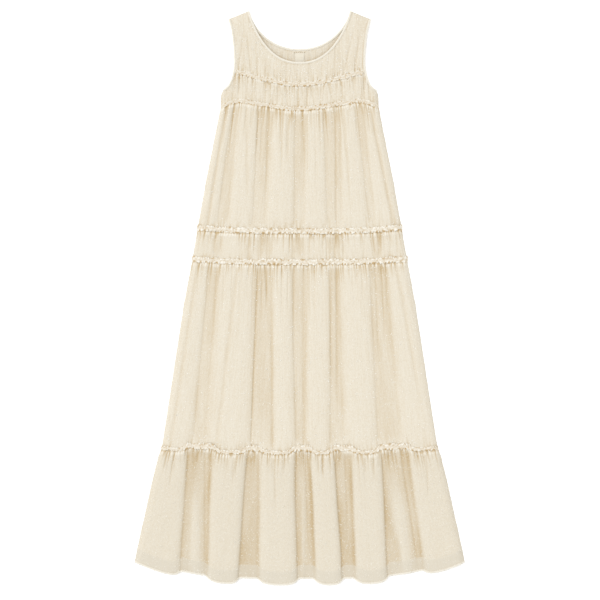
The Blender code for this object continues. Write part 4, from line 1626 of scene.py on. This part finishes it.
def shade_and_highlight_group() -> bpy.types.NodeTree:
    """The cloth's colour: warmer and darker where shade is painted and with the streak tone, greyer on the
    doubled hem, and lighter where a highlight is painted.
    """
    colour = "NodeSocketColor"
    nodes, start, end = new_group(
        "painted_shade_and_highlight",
        {"Light": colour, "Shade and mottle": colour, "Doubled": colour, "Highlight": colour, "Tone": "NodeSocketFloat"},
        {"Color": colour},
    )
    shade_and_mottle, hem, pale = (
        nodes.add("ShaderNodeAttribute", attribute_name=key).outputs["Fac"] for key in ("shade_and_mottle", "hem", "pale")
    )
    # Painted shade with the streak tone, then the doubled hem, then painted highlights
    toned = nodes.math("MULTIPLY", start.outputs["Tone"], 0.20)
    share = nodes.clamp(nodes.math("ADD", nodes.math("MULTIPLY", shade_and_mottle, 0.86), toned))
    sunk = nodes.blend(share, start.outputs["Light"], start.outputs["Shade and mottle"])
    doubled = nodes.blend(nodes.math("MULTIPLY", hem, 0.60), sunk, start.outputs["Doubled"])
    nodes.feed(end, "Color", nodes.blend(nodes.math("MULTIPLY", pale, 0.85), doubled, start.outputs["Highlight"]))
    return nodes.tree


@dataclass(frozen=True)
class ClothFinish:
    """Cream crinkled cotton: a fine weave with streaks, loose threads, painted warm shade and painted
    highlights.

    light is the cloth's colour, and the next three are the colour that painted shade, random mottle and the
    streak tone mix towards, the doubled hem's, and that of painted highlights and loose threads.
    threads, streaks and grain are how much of each shows. The reliefs are heights in metres, and weave is the
    distance between two threads of the weave.
    """

    name: str
    light: tuple
    shade_and_mottle: tuple
    doubled: tuple
    pale: tuple
    threads: float
    streaks: float = 1.25
    grain: float = 2.8
    weave: float = 0.00055
    crinkle_relief: float = 0.00046
    weave_relief: float = 0.00003
    thread_relief: float = 0.00022
    roughness: float = 0.86
    sheen: float = 0.12

    def material(self, groups: dict) -> bpy.types.Material:
        """The finish as a material.

        Args:
            groups: The shared node groups by name.

        Returns:
            The material.
        """
        made, nodes = new_material(self.name)
        place = nodes.add("ShaderNodeUVMap", uv_map="cloth").outputs[0]
        values = {"Vector": place, "Streaks": self.streaks, "Grain": self.grain}
        streaks = nodes.add("ShaderNodeGroup", values, node_tree=groups["crinkle"])
        values = {"Vector": place, "Thread": self.weave}
        weave = nodes.add("ShaderNodeGroup", values, node_tree=groups["weave"])
        values = {"Vector": place, "Amount": self.threads}
        threads = nodes.add("ShaderNodeGroup", values, node_tree=groups["threads"])
        values = {
            "Light": (*self.light, 1.0),
            "Shade and mottle": (*self.shade_and_mottle, 1.0),
            "Doubled": (*self.doubled, 1.0),
            "Highlight": (*self.pale, 1.0),
            "Tone": streaks.outputs["Tone"],
        }
        tint = nodes.add("ShaderNodeGroup", values, node_tree=groups["tint"])
        mask, tone = threads.outputs["Mask"], streaks.outputs["Tone"]
        colour = nodes.blend(nodes.math("MULTIPLY", mask, 0.55), tint.outputs["Color"], (*self.pale, 1.0))
        height = nodes.math("MULTIPLY", streaks.outputs["Height"], self.crinkle_relief)
        height = nodes.math("ADD", height, nodes.math("MULTIPLY", weave.outputs["Height"], self.weave_relief))
        height = nodes.math("ADD", height, nodes.math("MULTIPLY", mask, self.thread_relief))
        looks = {
            "Base Color": colour,
            "Roughness": nodes.math("ADD", self.roughness - 0.05, nodes.math("MULTIPLY", tone, 0.10)),
            "Specular IOR Level": 0.25,
            "Sheen Weight": self.sheen,
            "Sheen Roughness": 0.6,
        }
        nodes.cover(looks, height)
        return made


@dataclass(frozen=True)
class TapeFinish:
    """A close plain-woven tape. weave is the distance between two of its threads, in metres."""

    name: str
    light: tuple
    shade: tuple
    weave: float
    weave_relief: float = 0.00004
    soft_relief: float = 0.00012
    roughness: float = 0.7

    def material(self, groups: dict) -> bpy.types.Material:
        """The finish as a material.

        Args:
            groups: The shared node groups by name.

        Returns:
            The material.
        """
        made, nodes = new_material(self.name)
        place = nodes.add("ShaderNodeUVMap", uv_map="cloth").outputs[0]
        values = {"Vector": place, "Thread": self.weave}
        weave = nodes.add("ShaderNodeGroup", values, node_tree=groups["weave"])
        soft = nodes.noise(place, (130.0, 260.0, 1.0), 3.0)
        share = nodes.math("MULTIPLY", nodes.between(soft, 0.38, 0.66), 0.5)
        height = nodes.math("MULTIPLY", weave.outputs["Height"], self.weave_relief)
        height = nodes.math("ADD", height, nodes.math("MULTIPLY", soft, self.soft_relief))
        looks = {
            "Base Color": nodes.blend(share, (*self.light, 1.0), (*self.shade, 1.0)),
            "Roughness": nodes.math("ADD", self.roughness - 0.05, nodes.math("MULTIPLY", soft, 0.12)),
            "Specular IOR Level": 0.3,
            "Sheen Weight": 0.08,
            "Sheen Roughness": 0.5,
        }
        nodes.cover(looks, height)
        return made


@dataclass(frozen=True)
class ThreadFinish:
    """Spun thread, a little uneven in tone."""

    name: str
    light: tuple
    shade: tuple
    relief: float = 0.0001

    def material(self) -> bpy.types.Material:
        """The finish as a material."""
        made, nodes = new_material(self.name)
        place = nodes.add("ShaderNodeTexCoord").outputs["Object"]
        soft = nodes.noise(place, (900.0, 900.0, 900.0), 2.0)
        share = nodes.between(soft, 0.35, 0.65)
        looks = {
            "Base Color": nodes.blend(share, (*self.light, 1.0), (*self.shade, 1.0)),
            "Roughness": nodes.math("ADD", 0.72, nodes.math("MULTIPLY", soft, 0.2)),
            "Specular IOR Level": 0.25,
        }
        nodes.cover(looks, nodes.math("MULTIPLY", soft, self.relief))
        return made


# Each cotton's second colour is what its painted shade mixes towards, and its fourth colours its painted
# highlights and loose threads
COTTON = ClothFinish(
    "cream_cotton",
    (0.706, 0.657, 0.552),
    (0.505, 0.382, 0.213),
    (0.640, 0.590, 0.485),
    (0.790, 0.755, 0.665),
    0.35,
)
BODICE_COTTON = replace(COTTON, name="cream_cotton_bodice", streaks=2.1, grain=4.0)
# The frills' cotton, with a darker, warmer colour for the shade painted at their lower edges
FRILL_COTTON = ClothFinish(
    "cream_cotton_frill",
    (0.730, 0.684, 0.582),
    (0.480, 0.335, 0.160),
    (0.640, 0.590, 0.485),
    (0.850, 0.825, 0.750),
    0.1,
    streaks=0.2,
    grain=2.3,
)
FLOUNCE_COTTON = ClothFinish(
    "cream_cotton_flounce",
    (0.682, 0.632, 0.526),
    (0.490, 0.372, 0.210),
    (0.598, 0.552, 0.455),
    (0.780, 0.745, 0.655),
    0.9,
    streaks=0.55,
)
TAPE = TapeFinish("pale_binding", (0.745, 0.706, 0.612), (0.690, 0.640, 0.535), 0.0005)
LABEL_TAPE = TapeFinish("blank_label", (0.700, 0.650, 0.540), (0.665, 0.605, 0.490), 0.0004)
SLUB_THREAD = ThreadFinish("slub_thread", (0.890, 0.870, 0.810), (0.810, 0.775, 0.690))
FLOUNCE_SLUB_THREAD = ThreadFinish("flounce_slub_thread", (0.830, 0.795, 0.705), (0.750, 0.708, 0.605))
STITCH_THREAD = ThreadFinish("stitch_thread", (0.50, 0.40, 0.25), (0.38, 0.29, 0.16))


@dataclass
class NeckLabel:
    """A small blank label on the inside of the back yoke, sewn along its top."""

    width: float = 0.022
    length: float = 0.034
    top: float = 0.5985
    thick: float = 0.0006
    columns: int = 23
    rows: int = 35
    stitch: tuple = (0.0030, 0.0017, 0.0008)

    def surface(self) -> Surface:
        """Where the label lies."""
        across, down = np.meshgrid(np.linspace(-0.5, 0.5, self.columns), np.linspace(1.0, 0.0, self.rows))
        x, y = across * self.width, self.top - down * self.length
        bow = 0.0006 * np.sin(down * 5.0 + x * 60.0) * smooth_step(down * 2.0)
        lie = OUTLINE.back_height(x, y) + WALL / 2 + self.thick / 2 + CLEAR
        z = lie + 0.0004 * smooth_step(down * 3.0) + np.maximum(bow, -CLEAR)
        z = z - 0.0002 * bell(down - 0.045, 0.02)
        plain = np.zeros_like(x)
        return Surface(x, y, z, x, y, plain, plain, plain)

    def stitches(self) -> bpy.types.Object:
        """Short stitches over the label's top edge."""
        x = np.array((-0.58, -0.36, -0.16, 0.12, 0.32, 0.54)) * self.width
        y = np.full(len(x), self.top + 0.0004)
        z = OUTLINE.back_height(x, y) + WALL / 2 + self.thick + CLEAR
        runs = np.tile((1.0, 0.08, 0.0), (len(x), 1))
        return stitch_object("neck_label_stitches", np.stack([x, y, z], axis=1), runs, self.stitch)


@dataclass(frozen=True)
class Studio:
    """The floor, the light and the camera. glow is what the floor shines with by itself."""

    floor_half: float = 80.0
    lens: float = 85.0
    sensor: float = 36.0
    distance: float = 3.456
    centre: tuple = (0.0009, -0.0044)
    sun: float = 1.68
    sky: float = 0.79
    glow: float = 0.22

    def floor(self) -> None:
        """A plain near-white floor just under the cloth."""
        mesh = bpy.data.meshes.new("floor")
        work = bmesh.new()
        bmesh.ops.create_grid(work, x_segments=1, y_segments=1, size=self.floor_half)
        bmesh.ops.translate(work, verts=work.verts, vec=(0.0, 0.0, -CLEAR))
        work.to_mesh(mesh)
        work.free()
        floor = link("floor", mesh)
        made = bpy.data.materials.new("pale_floor")
        made.use_nodes = True
        shader = made.node_tree.nodes["Principled BSDF"]
        shader.inputs["Base Color"].default_value = (0.94, 0.94, 0.94, 1.0)
        shader.inputs["Roughness"].default_value = 0.9
        shader.inputs["Specular IOR Level"].default_value = 0.1
        shader.inputs["Emission Color"].default_value = (1.0, 1.0, 1.0, 1.0)
        shader.inputs["Emission Strength"].default_value = self.glow
        mesh.materials.append(made)

    def lights(self) -> None:
        """A broad soft light from the upper left, and an even sky."""
        scene = bpy.context.scene
        world = bpy.data.worlds.new("studio")
        world.use_nodes = True
        background = world.node_tree.nodes["Background"]
        background.inputs[0].default_value = (1.0, 0.985, 0.955, 1.0)
        background.inputs[1].default_value = self.sky
        scene.world = world
        lamp = bpy.data.lights.new("window", "SUN")
        lamp.energy = self.sun
        lamp.angle = math.radians(46.0)
        lamp.color = (0.98, 1.0, 1.06)
        light = bpy.data.objects.new("window", lamp)
        towards = Vector((0.36, -0.31, -1.0))
        light.rotation_euler = towards.to_track_quat("-Z", "Y").to_euler()
        scene.collection.objects.link(light)

    def camera(self) -> None:
        """A long lens straight above the dress."""
        scene = bpy.context.scene
        data = bpy.data.cameras.new("camera")
        data.lens, data.sensor_width = self.lens, self.sensor
        camera = bpy.data.objects.new("camera", data)
        camera.location = (*self.centre, self.distance)
        scene.collection.objects.link(camera)
        scene.camera = camera
        scene.view_settings.view_transform = "Standard"


BACK_PLEATS = FoldSet(
    tuple(
        Fold(place - 0.034, place + 0.034, place * 1.12 - 0.038, place * 1.12 + 0.038, rise, 0.0)
        for place, rise in ((-0.150, 0.0020), (-0.052, 0.0026), (0.041, 0.0022), (0.139, 0.0026))
    )
)


def back_creases(half: float, spacing: float, seed: int, spread: float) -> tuple:
    """Long and short creases for a hidden tier, in millimetres."""
    long = Gathers(half, spacing * 2.4, (0.7, 1.6), (0.7, 1.5), (4, 7), seed, spread=spread)
    short = Gathers(half, spacing, (0.15, 0.5), (0.6, 1.5), (2.6, 4), seed + 1, spread=spread)
    return long.creases() + short.creases()


def front_tiers() -> list[Panel]:
    """The four gathered tiers of the front, from the chest down."""
    upper = Gathers(188, 13, (0.15, 0.9), (0.4, 1.4), (1.6, 2.4), 101, spread=1.2)
    waist = Gathers(240, 11, (0.3, 1.3), (0.5, 1.4), (1.1, 1.8), 111, spread=1.03)
    middle = Gathers(256, 17, (0.08, 0.7), (0.4, 1.2), (1.6, 2.6), 121, spread=1.1)
    flounce = Gathers(328, 13, (0.05, 0.30), (0.4, 1.5), (1.5, 2.2), 131, spread=1.1)
    return [
        Tier(
            kind="upper_tier",
            side=Side.FRONT,
            flat=(0.60, 0.31),
            columns=300,
            rows=74,
            creases=UPPER_CREASES + upper.creases(),
            gathers=FineGathers(0.0085, 0.0011, (0.006, 0.085), 401),
            slubs=280,
            top=CHEST_SEAM,
            bottom=WAIST_TOP_SEAM,
            folds=UPPER_FOLDS,
        ),
        Tier(
            kind="waist_band",
            side=Side.FRONT,
            flat=(0.64, 0.085),
            columns=330,
            rows=30,
            creases=WAIST_CREASES + waist.creases(),
            gathers=FineGathers(0.0095, 0.0009, (0.008, 0.050), 411),
            slubs=50,
            top=WAIST_TOP_SEAM,
            bottom=WAIST_BOTTOM_SEAM,
            folds=WAIST_FOLDS,
        ),
        Tier(
            kind="middle_tier",
            side=Side.FRONT,
            flat=(0.80, 0.475),
            columns=390,
            rows=80,
            creases=MIDDLE_CREASES + middle.creases(),
            gathers=FineGathers(0.0085, 0.0011, (0.006, 0.050), 421),
            slubs=540,
            top=WAIST_BOTTOM_SEAM,
            bottom=FLOUNCE_SEAM,
            folds=MIDDLE_FOLDS,
        ),
        Tier(
            kind="flounce",
            side=Side.FRONT,
            flat=(0.92, 0.355),
            columns=450,
            rows=84,
            creases=FLOUNCE_CREASES + flounce.creases(),
            gathers=FineGathers(0.0084, 0.0014, (0.014, 0.058), 431),
            slubs=640,
            top=FLOUNCE_SEAM,
            bottom=HEM,
            folds=FLOUNCE_FOLDS,
        ),
    ]


def back_tiers() -> list[Panel]:
    """The four gathered tiers of the back."""
    sizes = (
        ("upper_tier", CHEST_SEAM, WAIST_TOP_SEAM, 186, 190, 30, (0.60, 0.31), 1.2, 160),
        ("waist_band", WAIST_TOP_SEAM, WAIST_BOTTOM_SEAM, 242, 190, 14, (0.64, 0.085), 1.04, 40),
        ("middle_tier", WAIST_BOTTOM_SEAM, FLOUNCE_SEAM, 256, 240, 44, (0.80, 0.475), 1.2, 320),
        ("flounce", FLOUNCE_SEAM, HEM, 330, 280, 44, (0.92, 0.325), 1.15, 360),
    )
    return [
        Tier(
            kind=kind,
            side=Side.BACK,
            flat=flat,
            columns=columns,
            rows=rows,
            creases=back_creases(half, 15, 200 + half, spread),
            gathers=FineGathers(0.011, 0.0007, (0.010, 0.040), 600 + half),
            slubs=slubs,
            top=top,
            bottom=bottom,
            folds=BACK_PLEATS,
        )
        for kind, top, bottom, half, columns, rows, flat, spread, slubs in sizes
    ]


def bodice_panels() -> list[Panel]:
    """The yokes and the chest bands, front and back."""
    yoke = {"flat": (0.36, 0.170), "gathers": FineGathers(0.0085, 0.0007, (0.006, 0.026), 441)}
    band = {"flat": (0.42, 0.085), "gathers": FineGathers(0.0085, 0.0008, (0.010, 0.034), 451)}
    yoke_front = Gathers(156, 8, (0.10, 0.55), (0.4, 1.1), (1.1, 1.6), 141)
    yoke_back = Gathers(150, 11, (0.3, 1.0), (0.5, 1.4), (2.0, 3.0), 161, spread=0.9)
    band_front = Gathers(170, 7, (0.3, 1.2), (0.4, 1.3), (1.0, 1.6), 151, spread=1.03)
    band_back = Gathers(170, 11, (0.3, 1.1), (0.4, 1.2), (2.2, 3.4), 171)
    return [
        Yoke(
            **yoke,
            side=Side.FRONT,
            area=0.033,
            columns=240,
            rows=64,
            creases=YOKE_CREASES + yoke_front.creases(),
            slubs=150,
        ),
        Yoke(
            **yoke,
            side=Side.BACK,
            area=0.037,
            columns=150,
            rows=40,
            creases=yoke_back.creases(),
            slubs=70,
        ),
        ChestBand(
            **band,
            side=Side.FRONT,
            area=0.029,
            columns=290,
            rows=34,
            creases=CHEST_CREASES + band_front.creases(),
            slubs=50,
        ),
        ChestBand(
            **band,
            side=Side.BACK,
            area=0.029,
            columns=150,
            rows=14,
            creases=band_back.creases(),
            slubs=30,
        ),
    ]


def frills() -> list[Frill]:
    """The headings on the five cross seams, front and back."""
    rows = (
        (YOKE_SEAM, 0.0062, 0.0052, 0.0007, 0.0005, 0.6, 310, 390, 0.42, 0.0, 0.154, 0.4),
        (CHEST_SEAM, 0.0062, 0.0052, 0.0007, 0.0005, 0.6, 320, 470, 0.48, 0.0, None, 0.45),
        (WAIST_TOP_SEAM, 0.0080, 0.0092, 0.0013, 0.0014, 0.3, 330, 580, 0.64, 0.0020, None, 0.9),
        (WAIST_BOTTOM_SEAM, 0.0080, 0.0092, 0.0013, 0.0014, 0.3, 340, 600, 0.66, 0.0020, None, 0.9),
        (FLOUNCE_SEAM, 0.0064, 0.0080, 0.0013, 0.0012, 0.4, 350, 760, 0.84, 0.0015, None, 0.7),
    )
    made = []
    for seam, half_width, ruffle, wave, crown, groove, seed, columns, length, beyond, half, bright in rows:
        for side, factor in ((Side.FRONT, 1.0), (Side.BACK, 0.4)):
            flat = (length, round(1.8 * half_width, 4))
            own_seed = seed if side is Side.FRONT else seed + 5
            sizes = (half_width, ruffle, wave, crown, groove, own_seed, int(columns * factor), flat)
            made.append(Frill(seam, side, *sizes, beyond, half, bright, 13 if side is Side.FRONT else 9))
    return made


def bindings() -> list[Binding]:
    """The neck and armhole bindings, front and back."""
    made = []
    for side in Side:
        made.append(Binding(f"{side.value}_neck_binding", side, OUTLINE.neck(side, 190), 0.0056))
        for hand, mirror in (("right", False), ("left", True)):
            name = f"{side.value}_{hand}_armhole_binding"
            made.append(Binding(name, side, OUTLINE.armhole(120), 0.0050, mirror))
    return made


def make_materials() -> dict:
    """Each finish's material."""
    groups = {
        "crinkle": crinkle_group(),
        "weave": weave_group(),
        "threads": thread_group(),
        "tint": shade_and_highlight_group(),
    }
    woven = (COTTON, FLOUNCE_COTTON, FRILL_COTTON, BODICE_COTTON, TAPE, LABEL_TAPE)
    spun = (SLUB_THREAD, FLOUNCE_SLUB_THREAD, STITCH_THREAD)
    made = {finish: finish.material(groups) for finish in woven}
    return made | {finish: finish.material() for finish in spun}


# The panels of another cotton than the tiers'
OWN_COTTON = {"flounce": FLOUNCE_COTTON, "yoke": BODICE_COTTON, "chest_band": BODICE_COTTON}


def main() -> None:
    """Builds and dresses every piece of the dress, and the studio round it."""
    materials = make_materials()
    for frill in frills():
        piece = cloth_object(f"{frill.name}_cloth", frill.surface(), FRILL_WALL)
        dress(piece, materials[FRILL_COTTON], "cream_cotton", frill.name)

    trims: dict = {"front_yoke": [], "back_yoke": []}
    for binding in bindings():
        piece = dress(binding.build(), materials[TAPE], "pale_binding", binding.name)
        sewing = dress(binding.stitches(), materials[STITCH_THREAD], "pale_binding")
        trims[f"{binding.side.value}_yoke"] += [piece, sewing]

    label = NeckLabel()
    piece = cloth_object("neck_label_tape", label.surface(), label.thick)
    dress(piece, materials[LABEL_TAPE], "blank_label", "neck_label")
    sewing = dress(label.stitches(), materials[STITCH_THREAD], "pale_binding")
    trims["back_yoke"] += [piece, sewing]

    for number, panel in enumerate(front_tiers() + back_tiers() + bodice_panels()):
        name, surface = panel.name, panel.surface()
        cotton = OWN_COTTON.get(panel.kind, COTTON)
        piece = dress(cloth_object(f"{name}_cloth", surface, WALL), materials[cotton], "cream_cotton", name)
        flounce = panel.kind == "flounce"
        slubs = Slubs(panel, surface, 500 + number, 0.3 if flounce else 0.0).build()
        dress(slubs, materials[FLOUNCE_SLUB_THREAD if flounce else SLUB_THREAD], "cream_cotton")

    studio = Studio()
    studio.floor()
    studio.lights()
    studio.camera()


if __name__ == "__main__":
    logging.basicConfig(level=logging.INFO, format="%(message)s")
    main()
